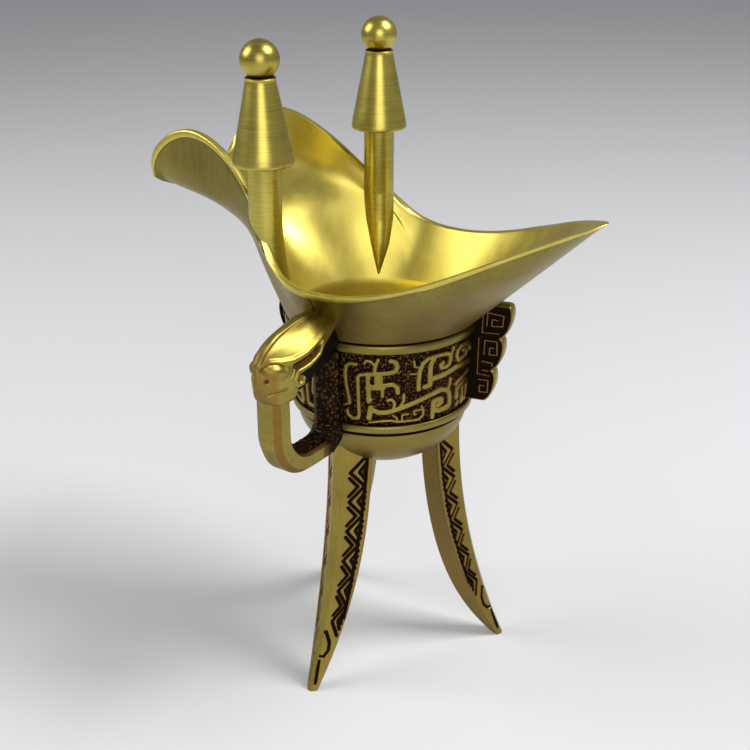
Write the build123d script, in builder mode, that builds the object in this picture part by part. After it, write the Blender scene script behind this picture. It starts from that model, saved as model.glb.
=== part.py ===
"""Bronze jue cup on three blade legs, with a beast-head handle, two flanges and two capped posts."""
import math
import os

from build123d import *

os.makedirs("parts", exist_ok=True)

# Joints and walls, mm
wall = 1.6
solder_gap = 0.06
seam_gap = 0.12

# Bowl with its ornament band, heights above the table
bowl_bottom_z = 52.5
band_bottom_z = 68.4
band_top_z = 86.0
band_bottom_radius = 20.2
band_top_radius = 21.0
lower_bead_radius = 21.3
lower_bead_height = 1.8
upper_bead_radius = 22.4
upper_bead_height = 2.0
bowl_radius = 20.1

# Mouth: round at the bowl, drawn out into a pointed tail (+X)
mouth_z = band_top_z + upper_bead_height
mouth_radius = 21.8
rim_low_z = 100.7
rim_half_width = 28.8
shoulder_rise = 18.5
tail_reach = 53.3
tail_z = 117.4
tail_round_rise = 17.0
tail_rise = 11.0
tail_sharpness = 0.45
end_wall_factor = 1.35
inner_step = 0.2
outline_points = 40
level_count = 15
mouth_foot_z = mouth_z - 0.6
level_step = 3.1
mouth_levels = [mouth_foot_z + level_step * level for level in range(level_count)]

# Spout (-X): a channel with a rising keel, a rounded bottom and nearly upright sides
spout_reach = 54.5
spout_top_z = 127.2
spout_half_width = 15.9
spout_shoulder = 9.9
shoulder_x = 14.3
shoulder_length = 9.92
widest_half = 29.0
keel_rise = 21.94
keel_length = 11.12
keel_blend = 1.5
channel_depth = 5.99
throat_depth = 14.46
throat_x = 24.6
throat_length = 9.0
channel_roundness = 1.55
waist_length = 10.0
throat_rise = 16.6
throat_fade = 2.2
nose_margin = 2.5
nose_spread = 0.8

# Handle
handle_reach = 46.3
loop_reach = 43.3
loop_thickness = 5.2
loop_width = 6.6
loop_chamfer = 1.5
loop_bottom_z = 61.4
loop_bend_radius = 9.0
loop_top_z = 86.5
back_strap_reach = 23.7
back_strap_bend = 4.8
eye_radius = 1.7
eye_x = 3.2
eye_reach = 42.0
eye_z = 88.7

# Flanges
flange_thickness = 3.4
flange_top_z = 95.0
flange_bottom_z = 72.0
flange_reach = 33.2
flange_taper = 3.6
lobe_depth = 1.6

# Legs
leg_azimuths = {"leg_front": -90.0, "leg_tail": 30.0, "leg_spout": 150.0}
leg_top_z = 64.0
leg_top_radius = 18.4
foot_radius = 31.2
leg_half_width = 6.2
foot_half_width = 1.1
leg_depth = 9.1
foot_depth = 2.4
ridge_width = 2.2
foot_ridge_width = 0.9
leg_stations = 8

# Posts
post_x = -15.6
post_y = 21.8
stem_radius = 3.6
stem_bottom_z = 84.0
cap_z = 125.1
cap_radius = 6.45
cap_neck_radius = 3.1
cap_height = 17.2
cap_edge = 0.7
ball_radius = 4.15
top_z = 150.0
spigot_radius = 2.3
spigot_length = 9.0
spigot_clearance = 0.05

# The origin is the middle of the footprint on the table, so the cup's axis stands beside it
axis_x = (spout_reach - tail_reach) / 2
axis_y = (handle_reach - rim_half_width) / 2
cup = Plane((axis_x, axis_y, 0))
cup_axis = Axis((axis_x, axis_y, 0), (0, 0, 1))
side = Plane((axis_x, axis_y, 0), x_dir=(1, 0, 0), z_dir=(0, -1, 0))
seam = Plane((axis_x, axis_y, 0), x_dir=(0, 1, 0), z_dir=(1, 0, 0))
outward = Plane((axis_x, axis_y, 0), x_dir=(0, -1, 0), z_dir=(-1, 0, 0))


def nose_limit(rise, inset):
    """Where the level outlines close, beyond the end that the rim line trims off."""
    return spout_reach + nose_margin + nose_spread * max(rise - keel_rise - inset, 0.0) - inset


def keel_reach(rise, inset):
    """How far out the spout's keel lies at a height above the mouth's foot, drawn in by inset."""
    left = 1 - rise / (keel_rise + inset)
    farthest = nose_limit(rise, inset)
    if left <= 0:
        return farthest
    return min(mouth_radius - inset - keel_length * math.log(left), farthest)


def eased(value):
    """Smooth stand-in for a value that is cut off below nought."""
    return keel_blend * math.log(1 + math.exp(value / keel_blend))


def spout_half(x, rise, half, reach, inset):
    """Half width of the spout's level outline at x, from the round throat to the open channel."""
    out = abs(x) + inset
    keel = (keel_rise + inset) * (1 - math.exp(-eased(out - mouth_radius) / keel_length))
    depth = channel_depth + throat_depth * math.exp(-eased(out - throat_x) / throat_length)
    fill = min(max((rise - keel) / depth, 0.0), 1.0)
    width = spout_half_width + spout_shoulder * math.exp(-(abs(x) - shoulder_x) / shoulder_length)
    width = (width**-14 + widest_half**-14) ** (-1 / 14) - inset
    end = math.sqrt(max(1 - (abs(x) / nose_limit(rise, inset)) ** 20, 0.0))
    channel = width * (1 - (1 - fill) ** channel_roundness) * end
    throat = half * math.sqrt(max(1 - (x / reach) ** 2, 0.0))
    waist = math.exp(-((x / waist_length) ** 4))
    open_share = min(rise / throat_rise, 1.0) ** throat_fade
    return throat + (channel - throat) * (1 - waist) * open_share


def mouth_outline(z, inset):
    """Points of the mouth's level outline at height z, drawn in by inset."""
    rise = max(z - mouth_z, 0.0)
    end_inset = inset * (1 + (end_wall_factor - 1) * min(rise / shoulder_rise, 1.0))
    tail = mouth_radius + (tail_reach - mouth_radius) * rise / (tail_z - mouth_z) - end_inset
    spout = keel_reach(rise, inset)
    flare = (rim_half_width - mouth_radius) / (rim_low_z - mouth_z)
    half = mouth_radius + flare * min(rise, shoulder_rise) - inset
    tail_power = 2 - tail_sharpness * min(max((rise - tail_round_rise) / tail_rise, 0.0), 1.0)
    points = []
    for step in range(outline_points):
        angle = math.pi / 2 + 2 * math.pi * step / outline_points
        c, s = math.cos(angle), math.sin(angle)
        if c >= 0:
            x = tail * c ** (2 / tail_power)
            y = half * abs(s) ** (2 / tail_power)
        else:
            x = spout * c
            y = spout_half(x, rise, half, spout, inset)
        points.append((x, math.copysign(y, s)))
    return points


# Side view of the rim: tail tip, low waist, rising spout and its rounded end
rim_points = [
    (tail_reach + 1.0, tail_z + 0.4),
    (41.0, 112.6),
    (27.0, 106.5),
    (13.0, 102.0),
    (2.0, rim_low_z),
    (-6.5, 102.1),
    (-14.3, 108.4),
    (-21.8, 116.9),
    (-31.5, 124.4),
    (-41.5, spout_top_z),
    (-50.5, 123.7),
    (-spout_reach, 117.5),
    (-53.5, 112.2),
    (-51.0, 108.0),
    (-48.0, 100.0),
]
trim_bottom_z = 40.0
trim_margin = 8.0


# Solid space under the rim, for trimming the shell and seating the posts
def under_rim(lift):
    with BuildPart() as below:
        with BuildSketch(side):
            with BuildLine():
                curve = Spline(*[(x, z + lift) for x, z in rim_points])
                Polyline(
                    curve @ 1,
                    (rim_points[-1][0], trim_bottom_z),
                    (tail_reach + trim_margin, trim_bottom_z),
                    (tail_reach + trim_margin, tail_z + 3),
                    curve @ 0,
                )
            make_face()
        extrude(amount=60, both=True)
    return below.part


# Even shares along every outline keep the lofted sides free of ripples
even_shares = [step / outline_points for step in range(outline_points + 1)]


# Solid of the mouth's outlines, drawn in by inset
def mouth_solid(inset):
    with BuildPart() as mouth:
        for z in mouth_levels:
            with BuildSketch(cup.offset(z)):
                with BuildLine():
                    points = [Vector(x, y, 0) for x, y in mouth_outline(z, inset)]
                    add(Edge.make_spline(points, periodic=True, parameters=even_shares))
                make_face()
        loft()
    return mouth.part


# Outside of the bowl from its foot to the mouth, grown by grow, as a full solid
def bowl_solid(grow):
    lower_bead_z = band_bottom_z - lower_bead_height
    with BuildPart() as bowl:
        with BuildSketch(seam):
            with BuildLine():
                bottom = bowl_bottom_z - grow
                foot = Line((0, lower_bead_z), (0, bottom))
                round_bottom = EllipticalCenterArc(
                    (0, lower_bead_z), bowl_radius + grow, lower_bead_z - bottom, start_angle=270, arc_size=90
                )
                lower = Polyline(
                    round_bottom @ 1,
                    (lower_bead_radius - 0.3 + grow, lower_bead_z),
                    (lower_bead_radius + grow, lower_bead_z + 0.4),
                    (lower_bead_radius + grow, band_bottom_z - 0.4),
                    (lower_bead_radius - 0.3 + grow, band_bottom_z),
                    (band_bottom_radius + grow, band_bottom_z),
                    (band_top_radius + grow, band_top_z),
                    (upper_bead_radius - 0.4 + grow, band_top_z),
                    (upper_bead_radius + grow, band_top_z + 0.5),
                    (upper_bead_radius + grow, mouth_z - 0.3),
                    (upper_bead_radius - 0.1 + grow, mouth_z),
                    (0, mouth_z),
                    foot @ 0,
                )
            make_face()
        revolve(axis=cup_axis)
    return bowl.part


outer_mouth = mouth_solid(0)
inner_mouth = mouth_solid(wall)
seat_mouth = mouth_solid(wall + solder_gap)
body_envelope = mouth_solid(-solder_gap) + bowl_solid(solder_gap)

# Cup body: mouth shell trimmed to the rim, on a round-bottomed bowl
with BuildPart() as body:
    add((outer_mouth & under_rim(0)) - inner_mouth)
    add(bowl_solid(0))
    with BuildSketch(seam):
        with BuildLine():
            inner_band = Polyline(
                (0, mouth_z),
                (mouth_radius - wall - inner_step, mouth_z),
                (band_bottom_radius - wall, band_bottom_z),
            )
            inner_bottom = EllipticalCenterArc(
                (0, band_bottom_z),
                band_bottom_radius - wall,
                band_bottom_z - bowl_bottom_z - wall,
                start_angle=270,
                arc_size=90,
            )
            Line(inner_bottom @ 0, inner_band @ 0)
        make_face()
    revolve(axis=cup_axis, mode=Mode.SUBTRACT)

with BuildPart() as body_tail_half:
    add(body.part)
    split(bisect_by=seam.offset(seam_gap / 2), keep=Keep.TOP)
body_tail_half.part.label = "body_tail_half"
export_step(body_tail_half.part, "parts/body_tail_half.step")

with BuildPart() as body_spout_half:
    add(body.part)
    split(bisect_by=seam.offset(-seam_gap / 2), keep=Keep.BOTTOM)
body_spout_half.part.label = "body_spout_half"
export_step(body_spout_half.part, "parts/body_spout_half.step")

# Legs: blades with a narrow outer ridge, sweeping out to small flat feet
for name, azimuth in leg_azimuths.items():
    radial = (math.cos(math.radians(azimuth)), math.sin(math.radians(azimuth)), 0)
    with BuildPart() as leg:
        for station in range(leg_stations):
            drop = (station / (leg_stations - 1)) ** 0.8
            z = leg_top_z * (1 - drop)
            ridge = leg_top_radius + (foot_radius - leg_top_radius) * drop**2.1
            half = foot_half_width + (leg_half_width - foot_half_width) * (1 - drop**2.8)
            inner = ridge - foot_depth - (leg_depth - foot_depth) * (1 - drop**6)
            flat = (foot_ridge_width + (ridge_width - foot_ridge_width) * (1 - drop**4)) / 2
            with BuildSketch(Plane((axis_x, axis_y, z), x_dir=radial, z_dir=(0, 0, 1))):
                with BuildLine():
                    Polyline(
                        (ridge, -flat),
                        (ridge, flat),
                        (ridge - half + flat, half),
                        (inner, flat),
                        (inner, -flat),
                        (ridge - half + flat, -half),
                        close=True,
                    )
                make_face()
        loft()
        add(body_envelope, mode=Mode.SUBTRACT)
    leg.part.label = name
    export_step(leg.part, f"parts/{name}.step")

# Handle: a crested beast head on the wall, with a ring from its mouth round to the bowl and up to its throat
# Head sections: reach, crest z, eave half width and z, cheek half width and z, jaw half width and z
head_sections = [
    (21.0, 95.6, 4.0, 93.4, 4.6, 90.0, 3.4, 84.6),
    (27.0, 96.2, 4.6, 93.8, 5.3, 90.0, 3.8, 83.4),
    (33.0, 96.1, 5.2, 92.4, 6.1, 88.8, 4.2, 81.8),
    (40.0, 94.9, 3.9, 90.6, 5.0, 87.4, 3.6, 80.7),
    (43.5, 93.0, 2.3, 90.2, 3.2, 87.0, 2.6, 81.3),
    (handle_reach, 89.9, 0.4, 89.2, 0.6, 87.4, 0.5, 85.6),
]
with BuildPart() as handle:
    for reach, crest, eave, eave_z, cheek, cheek_z, jaw, jaw_z in head_sections:
        with BuildSketch(Plane((axis_x, axis_y - reach, 0), x_dir=(1, 0, 0), z_dir=(0, -1, 0))):
            with BuildLine():
                Polyline(
                    (0, crest),
                    (eave, eave_z),
                    (cheek, cheek_z),
                    (jaw, jaw_z),
                    (-jaw, jaw_z),
                    (-cheek, cheek_z),
                    (-eave, eave_z),
                    close=True,
                )
            make_face()
    loft()
    with BuildLine(outward) as strap:
        strap_x = loop_reach - loop_thickness / 2
        strap_z = loop_bottom_z + loop_thickness / 2
        drop_line = Line((strap_x, loop_top_z), (strap_x, strap_z + loop_bend_radius))
        bend = TangentArc(
            drop_line @ 1, (strap_x - loop_bend_radius, strap_z), tangent=drop_line % 1
        )
        back_bend_x = back_strap_reach - loop_thickness / 2 + back_strap_bend
        bottom = Line(bend @ 1, (back_bend_x, strap_z))
        back_bend = TangentArc(
            bottom @ 1,
            (back_bend_x - back_strap_bend, strap_z + back_strap_bend),
            tangent=bottom % 1,
        )
        Line(back_bend @ 1, (back_bend_x - back_strap_bend, loop_top_z))
    with BuildSketch(Plane(strap.line @ 0, x_dir=(1, 0, 0), z_dir=strap.line % 0)) as strap_section:
        Rectangle(loop_width, loop_thickness)
        chamfer(strap_section.vertices(), loop_chamfer)
    sweep(path=strap.line)
    with Locations(
        (axis_x - eye_x, axis_y - eye_reach, eye_z), (axis_x + eye_x, axis_y - eye_reach, eye_z)
    ):
        Sphere(eye_radius)
    add(body_envelope, mode=Mode.SUBTRACT)
handle.part.label = "handle"
export_step(handle.part, "parts/handle.step")

# Flanges: lobed plates standing out from the band under the spout and the tail
lobe_height = (flange_top_z - flange_bottom_z) / 3
for name, sign in {"flange_tail": 1, "flange_spout": -1}.items():
    with BuildPart() as flange:
        with BuildSketch(side):
            with BuildLine():
                corners = []
                for lobe in range(4):
                    z = flange_top_z - lobe * lobe_height
                    corners.append((sign * (flange_reach - lobe_depth - flange_taper * lobe / 3), z))
                for upper, lower in zip(corners[:-1], corners[1:]):
                    SagittaArc(upper, lower, sign * lobe_depth)
                Polyline(corners[-1], (sign * 15, flange_bottom_z), (sign * 15, flange_top_z), corners[0])
            make_face()
        extrude(amount=flange_thickness / 2, both=True)
        add(body_envelope, mode=Mode.SUBTRACT)
    flange.part.label = name
    export_step(flange.part, f"parts/{name}.step")

# Posts: a stem let over the rim and down the inner wall, and a turned cap with a ball on its spigot
rim_clear = under_rim(solder_gap)
for label, sign in {"near": -1, "far": 1}.items():
    foot = (axis_x + post_x, axis_y + sign * post_y, 0)
    with BuildPart() as stem:
        with BuildSketch(Plane(foot).offset(stem_bottom_z)):
            Circle(stem_radius)
        extrude(amount=cap_z - solder_gap - stem_bottom_z)
        add(rim_clear - seat_mouth, mode=Mode.SUBTRACT)
        with BuildSketch(Plane(foot).offset(cap_z - solder_gap)):
            Circle(spigot_radius)
        extrude(amount=spigot_length)
    stem.part.label = f"post_stem_{label}"
    export_step(stem.part, f"parts/post_stem_{label}.step")

    neck_z = cap_z + cap_height
    ball_z = top_z - ball_radius
    with BuildPart() as cap:
        with BuildSketch(Plane(foot, x_dir=(1, 0, 0), z_dir=(0, -1, 0))):
            with BuildLine():
                Polyline(
                    (0, cap_z),
                    (cap_radius - cap_edge, cap_z),
                    (cap_radius, cap_z + cap_edge),
                    (cap_neck_radius, neck_z),
                    (0, neck_z),
                    close=True,
                )
            make_face()
        revolve(axis=Axis(foot, (0, 0, 1)))
        with Locations((foot[0], foot[1], ball_z)):
            Sphere(ball_radius)
        with BuildSketch(Plane(foot).offset(cap_z)):
            Circle(spigot_radius + spigot_clearance)
        extrude(amount=spigot_length + solder_gap, mode=Mode.SUBTRACT)
    cap.part.label = f"post_cap_{label}"
    export_step(cap.part, f"parts/post_cap_{label}.step")
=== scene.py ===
"""Bronze jue cup: cast halves, dragon band, blade legs, beast-head handle, flanges and capped posts."""

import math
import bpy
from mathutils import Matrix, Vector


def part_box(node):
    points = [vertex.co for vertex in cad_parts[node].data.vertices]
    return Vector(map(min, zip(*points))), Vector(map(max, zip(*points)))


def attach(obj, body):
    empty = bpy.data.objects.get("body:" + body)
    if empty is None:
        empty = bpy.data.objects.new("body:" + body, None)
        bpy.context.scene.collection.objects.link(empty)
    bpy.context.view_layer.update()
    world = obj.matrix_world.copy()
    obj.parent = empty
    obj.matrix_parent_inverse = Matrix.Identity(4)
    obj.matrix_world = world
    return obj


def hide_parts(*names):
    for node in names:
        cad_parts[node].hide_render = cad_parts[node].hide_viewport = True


bl_info = {
    "name": "Bronze jue cup",
    "version": (1, 0, 0),
    "blender": (4, 5, 0),
    "location": "3D View > Sidebar > Jue",
    "description": "Builds a small cast-brass jue cup over its packed solids",
    "category": "Object",
}

import bmesh
import bpy
import numpy as np
from mathutils import Vector

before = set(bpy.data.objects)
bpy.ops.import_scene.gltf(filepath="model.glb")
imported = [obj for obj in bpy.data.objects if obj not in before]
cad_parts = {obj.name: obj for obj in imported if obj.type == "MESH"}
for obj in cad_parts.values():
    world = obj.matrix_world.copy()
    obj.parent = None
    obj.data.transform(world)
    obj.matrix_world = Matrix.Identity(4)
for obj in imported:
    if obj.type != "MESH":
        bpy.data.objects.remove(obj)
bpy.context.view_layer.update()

MM = 0.001

# The posts stand either side of the cup's axis, so their caps give its place
POST_X = -15.6
POST_Y = 21.8
near_cap_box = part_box("post_cap_near")
far_cap_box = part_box("post_cap_far")
axis_x = (near_cap_box[0].x + near_cap_box[1].x) / 2 / MM - POST_X
axis_y = (near_cap_box[0].y + far_cap_box[1].y) / 2 / MM
CUP_AXIS = np.array([axis_x, axis_y, 0.0])

# Bowl, in mm and heights above the table; a bead is its bottom, top and radius
BOWL_BOTTOM = 52.5
BOWL_DEPTH = 14.1
BOWL_RADIUS = 20.1
LOWER_BEAD = (66.6, 68.4, 21.3)
UPPER_BEAD = (86.0, 88.0, 22.4)
BEAD_DEPTH = 0.75
BEAD_SQUARENESS = 0.35
BEAD_WEAR = [0.1, 0.7] + [0.96] * 9 + [0.7, 0.1]
BAND_RADII = (20.2, 21.4)
BAND_INSET = 0.4
INSIDE_DROP = 19.6
INSIDE_SHARES = (0.05, 0.4, 0.7)

# Grooves beside the beads, as (inset from the wall, height, wear)
GROOVE_DROP = 1.3
LOWER_GROOVE = [(0.08, 65.42, 0.8), (0.4, 65.55, 0.1), (0.4, 66.0, 0.1), (0.1, 66.3, 0.1)]
UPPER_GROOVE = [(0.4, 88.06, 0.1), (0.4, 88.28, 0.1)]

# Mouth: its sides flare evenly and its tail turns pointed
MOUTH_Z = 88.0
MOUTH_RADIUS = 21.8
RIM_LOW_Z = 100.7
RIM_HALF_WIDTH = 28.8
SIDE_FLARE = (RIM_HALF_WIDTH - MOUTH_RADIUS) / (RIM_LOW_Z - MOUTH_Z)
SHOULDER_RISE = 18.5
TAIL_REACH = 53.3
TAIL_Z = 117.4
TAIL_END_INSET = 0.35
TAIL_POINT = 0.45
TAIL_POINT_RISE = 17
TAIL_POINT_SPAN = 11

# Rim in the side view as (x, z), from the tail's tip to under the spout's lip, and what closes it below
RIM_LINE = [
    (54.3, 117.8), (41.0, 112.6), (27.0, 106.5), (13.0, 102.0), (2.0, 100.7), (-6.5, 102.1), (-14.3, 108.4),
    (-21.8, 116.9), (-31.5, 124.4), (-41.5, 127.2), (-50.5, 123.7), (-54.5, 117.5), (-53.5, 112.2),
    (-51.0, 108.0), (-48.0, 100.0),
]
UNDER_RIM = [(-48, 40), (61, 40), (61, 120)]

# Spout: a channel with a rising keel, a rounded bottom and nearly upright sides
SPOUT_REACH = 54.5
SPOUT_HALF_WIDTH = 15.9
SPOUT_SHOULDER = 9.9
SHOULDER_X = 14.3
SHOULDER_LENGTH = 9.92
WIDEST_HALF = 29.0
WIDTH_BLEND = 14
KEEL_RISE = 21.94
KEEL_LENGTH = 11.12
KEEL_BLEND = 1.5
CHANNEL_DEPTH = 5.99
CHANNEL_ROUNDNESS = 1.55
CHANNEL_END_GAP = 2.5
CHANNEL_END_LEAN = 0.8
CHANNEL_END_POWER = 20
THROAT_DEPTH = 14.46
THROAT_X = 24.6
THROAT_LENGTH = 9.0
THROAT_RISE = 19.0
THROAT_FADE = 1.5
WAIST_LENGTH = 10.0

# Rim bead on the wall, as (drop below the rim, standing proud, wear_and_shade), then over the rim as
# (share, crown); the dark row 1.6 mm down is painted shade under the proud bead, in a slight groove
RIM_BEAD = [
    (1.75, 0.0, 0.95), (1.66, 0.0, 0.95), (1.6, -0.06, 0.3), (1.54, 0.1, 0.95),
    (1.3, 0.2, 1), (0.9, 0.26, 1), (0.45, 0.24, 1), (0.15, 0.16, 1),
]
RIM_TOP = [(0.03, 0.1), (0.2, 0.22), (0.5, 0.26), (0.8, 0.2), (0.97, 0.06)]
BEAD_MIDDLE = 5

# Grid of the cup: columns round it, rows up its wall, smoothing passes and the levels of its samples
BOWL_ROWS = 22
FLOOR_ROWS = 18
TAIL_COLUMNS = 190
SPOUT_COLUMNS = 230
WALL_ROWS = 80
OUTER_PASSES = 40
INNER_PASSES = 60
FOOT_GAP = 0.45
WALL_TOP_Z = 131.0
WALL_LEVELS = 500
KEEL_LEVELS = 300
KEEL_SPAN = 6
RIM_SEARCH_Z = 130.8
RIM_LEVELS = 400
RIM_HALVINGS = 14
SPACING_LEVELS = (100.0, 107.0, 114.0)

# Level of the whole bowl, a little darker than bare brass; painted shade of the wall at its foot and how it
# lightens towards the rim; material slots of the cup's rows
BOWL_TONE = 0.93
FOOT_PAINTED_SHADE = 0.88
RIM_SHADE_LIFT = 0.1
WALL_PART, INSIDE_PART, BOWL_PART = 0, 1, 2

# Seam: half its width, the width of its dark edge and the least step between columns
SEAM_HALF = 0.13
SEAM_EDGE = 0.25
SEAM_STEP = 0.5

# Band ornament: strokes as (width, corners), in mm along the band from its start and up from the lower bead
BAND_HEIGHT = 17.6
BAND_ARC_RADIUS = 20.6
BAND_STEP = 0.124
BAND_ROWS = 144
BAND_MARGIN = 0.02
BAND_STROKES = [
    (0.76, [
        (6.6, 15.0), (5.2, 15.1), (4.4, 14.4), (4.1, 12.5), (4.2, 10.0), (4.6, 7.5), (4.9, 5.3),
        (3.6, 4.7),
    ]),
    (0.45, [(4.1, 13.3), (2.7, 13.2), (2.1, 14.3)]),
    (0.45, [(3.7, 11.9), (1.9, 11.4)]),
    (0.79, [
        (8.7, 12.8), (7.4, 12.6), (6.9, 11.9), (6.9, 8.7), (7.0, 2.7), (6.8, 1.8), (5.4, 1.6), (4.4, 2.3),
        (4.2, 3.3),
    ]),
    (1.0, [(9.1, 12.5), (9.2, 6.2)]),
    (0.95, [(8.7, 12.8), (13.2, 13.1), (14.8, 13.5), (15.2, 14.7), (14.8, 15.8), (13.8, 16.1)]),
    (0.75, [(10.5, 13.0), (10.6, 14.7), (11.2, 16.4)]),
    (0.6, [(10.5, 15.0), (9.8, 15.9), (8.7, 16.1), (8.4, 15.4)]),
    (0.95, [(9.2, 10.0), (12.0, 10.1), (14.3, 10.4), (15.2, 9.7), (15.4, 8.3)]),
    (1.65, [(11.3, 10.6), (11.3, 12.0)]),
    (1.0, [(8.9, 9.5), (12.2, 9.5)]),
    (0.75, [(12.1, 9.4), (12.1, 7.5)]),
    (0.6, [(9.2, 6.8), (9.3, 6.1), (9.8, 6.7)]),
    (1.15, [(9.2, 2.0), (9.4, 3.3), (9.6, 4.6)]),
    (1.05, [
        (10.1, 4.0), (11.3, 3.4), (13.2, 3.5), (15.8, 4.3), (18.3, 5.1), (22.7, 6.5), (25.8, 7.1),
        (27.6, 6.5), (28.4, 5.4), (28.7, 3.7), (28.6, 2.2), (27.4, 1.9), (25.7, 1.9), (24.2, 2.4),
        (23.8, 3.9), (24.4, 4.7), (25.9, 4.7), (26.2, 3.9), (25.2, 3.4),
    ]),
    (1.0, [(23.8, 4.6), (23.8, 0.7)]),
    (0.7, [(28.1, 6.8), (28.4, 8.1), (28.4, 9.0)]),
    (0.7, [(14.5, 4.3), (14.8, 5.8), (14.1, 6.7), (13.2, 6.5)]),
    (0.7, [(16.0, 4.9), (16.7, 6.2), (16.7, 7.7)]),
    (0.55, [
        (9.3, 0.9), (12.0, 1.3), (13.9, 1.4), (15.5, 1.0), (20.3, 0.9), (21.3, 1.8), (21.4, 3.0),
        (20.9, 4.2),
    ]),
    (0.5, [(15.5, 1.0), (15.3, 2.0), (14.4, 2.7)]),
    (0.5, [(16.4, 1.1), (16.5, 2.7), (17.8, 2.7)]),
    (0.5, [(20.7, 3.3), (19.1, 3.3), (19.2, 2.4), (19.6, 2.4)]),
    (0.9, [
        (20.0, 8.5), (19.9, 10.6), (20.1, 13.0), (20.7, 14.7), (22.0, 15.7), (24.0, 15.9), (26.4, 15.8),
        (27.7, 15.3), (28.0, 14.2), (27.7, 13.0), (26.8, 12.5), (25.5, 12.6), (25.2, 13.3), (25.8, 13.8),
    ]),
    (0.5, [(20.0, 13.9), (18.9, 14.2), (18.7, 15.7)]),
    (0.5, [(20.0, 12.5), (18.0, 12.6)]),
    (1.05, [(23.3, 15.3), (22.6, 14.0), (22.6, 11.3), (22.7, 9.1), (21.4, 8.9)]),
    (1.1, [(23.2, 10.5), (26.4, 10.7), (30.1, 11.3), (33.3, 11.0), (37.4, 10.4)]),
    (0.55, [(28.0, 14.8), (28.4, 15.9), (28.7, 16.7)]),
    (0.9, [
        (32.6, 12.9), (30.8, 12.7), (30.0, 14.0), (30.2, 15.3), (31.2, 16.0), (33.6, 15.8), (35.6, 15.0),
        (36.0, 13.8),
    ]),
    (0.6, [(32.4, 14.6), (33.6, 14.6), (34.2, 13.7), (33.4, 13.0)]),
    (0.9, [(30.6, 6.9), (32.4, 7.4), (34.5, 7.7), (36.6, 8.4), (37.0, 7.0)]),
    (1.2, [(31.3, 5.4), (31.2, 3.4)]),
    (1.0, [(31.4, 5.4), (33.5, 5.9), (35.6, 6.0), (36.2, 5.0)]),
    (1.0, [(33.8, 5.6), (34.0, 2.9), (33.6, 1.4)]),
    (0.7, [(35.8, 4.6), (35.9, 2.2), (35.0, 1.4)]),
    (0.6, [(32.0, 2.0), (31.4, 1.2)]),
]
# The strokes' tops were read between their dark outlines, so they are drawn wider than read
STROKE_GAIN = 1.2
STROKE_BEVEL = 0.26
CROWN_SPREAD = 0.6
CROWN_SHARE = 0.1
GRIT_HEIGHT = 0.26
# Wear of the strokes and of the granules, which falls off from their tips by a power
STROKE_WEAR = 0.95
GRIT_WEAR = 0.97
GRIT_POWER = 1.5
# Share of its radius to which the ground turns in under the beads
BAND_TUCK = 0.97
# Dragon's eye: its centre along and up the band, its half length and its half height
BAND_EYE = (9.94, 11.06, 0.38, 0.7)

# Stem: x, distance from the side view's plane, z and radius of its centre line
STEM_PATH = [
    (-15.6, 21.8, 125.3, 3.6), (-15.6, 21.8, 109.0, 3.6), (-15.0, 21.2, 102.5, 3.4),
    (-13.7, 19.5, 96.5, 2.3), (-12.95, 18.0, 92.4, 1.1), (-12.4, 16.9, 89.2, 0.12),
]
STEM_ROWS = 150
STEM_COLUMNS = 72
STEM_SINK = 0.3
STEM_SHADE = 0.5
# Stem's painted contact shadow where it meets the wall, and its gain away from there
STEM_CONTACT_SHADOW = (0.15, 0.85)

# Cap as (radius, z): skirt, cone from its foot by a run and a rise, collar, then the ball
CAP_SKIRT = [
    (0.0, 125.0), (2.0, 125.0), (5.0, 124.9), (5.9, 124.4), (6.25, 124.3), (6.5, 124.5), (6.56, 124.9),
    (6.48, 125.3), (6.42, 125.95),
]
CONE_FOOT = (6.42, 125.95)
CONE_RUN = 3.3
CONE_RISE = 16.2
CAP_COLLAR = [(3.25, 141.9), (3.3, 142.15), (3.1, 142.4), (2.3, 142.5), (2.2, 142.65)]
NECK_RADIUS = 2.3
BALL_RADIUS = 4.15
BALL_Z = 145.85
CAP_COLUMNS = 96
# Painted shade in the gap under the ball, and in the hollow under the skirt
BALL_GAP_SHADE = (142.3, 142.75, 0.2)
SKIRT_UNDERSIDE_SHADE = (125.05, 6.2, 0.4)

# Leg's ridge, half width, depth and flat, as (least, gain, power of the share of the drop to the table)
LEG_AZIMUTHS = {"leg_front": -90.0, "leg_tail": 30.0, "leg_spout": 150.0}
LEG_TOP_Z = 64.0
LEG_RIDGE = (18.4, 12.8, 2.1)
LEG_HALF = (1.5, 4.7, 2.8)
LEG_DEPTH = (2.4, 6.7, 6)
LEG_FLAT = (0.9, 1.3, 4)
LEG_ROWS = 440
LEG_START_Z = 58.0
LEG_SINK = 0.25
# Columns on the blade's six sides: ridge, side face, back, inner flat, back, side face
LEG_SPANS = [(0, 9), (1, 52), (2, 12), (3, 5), (4, 12), (5, 52)]
LEFT_FACE, RIGHT_FACE = 1, 5
# Wear of the side faces, what their back edges lose over a share of the face, and wear of the inner sides
FACE_WEAR = 0.9
EDGE_LOSS = 0.12
EDGE_START = 0.92
EDGE_SPAN = 0.08
INNER_WEAR = 0.86

# Leg grooves: the shares of a side face run from 0 at the ridge to 1 at the back edge
ZIGZAG_PERIOD = 7.45
ZIGZAG_TOP = 53.9
ZIGZAG_TURNS = 6
ZIGZAG_SHARES = (0.31, 0.8)
ZIGZAG_START = 3.7
# Chevrons in the zigzag's turns: share of the arms' ends, share of the tip, half height
BACK_CHEVRONS = [(0.83, 0.61, 2.2), (0.83, 0.78, 0.9)]
RIDGE_CHEVRON = (0.29, 0.58, 2.3)
FOOT_HOOK = [(-0.1, 14.2), (0.12, 14.2), (0.45, 11.6), (0.55, 9.6), (0.32, 8.1), (0.0, 8.3)]
FOOT_LINE = [(0.05, 7.2), (0.3, 1.8)]
LEG_BORDER = [(0.88, 62.0), (0.88, 17.0)]
GROOVE_BEVEL = 0.22

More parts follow.
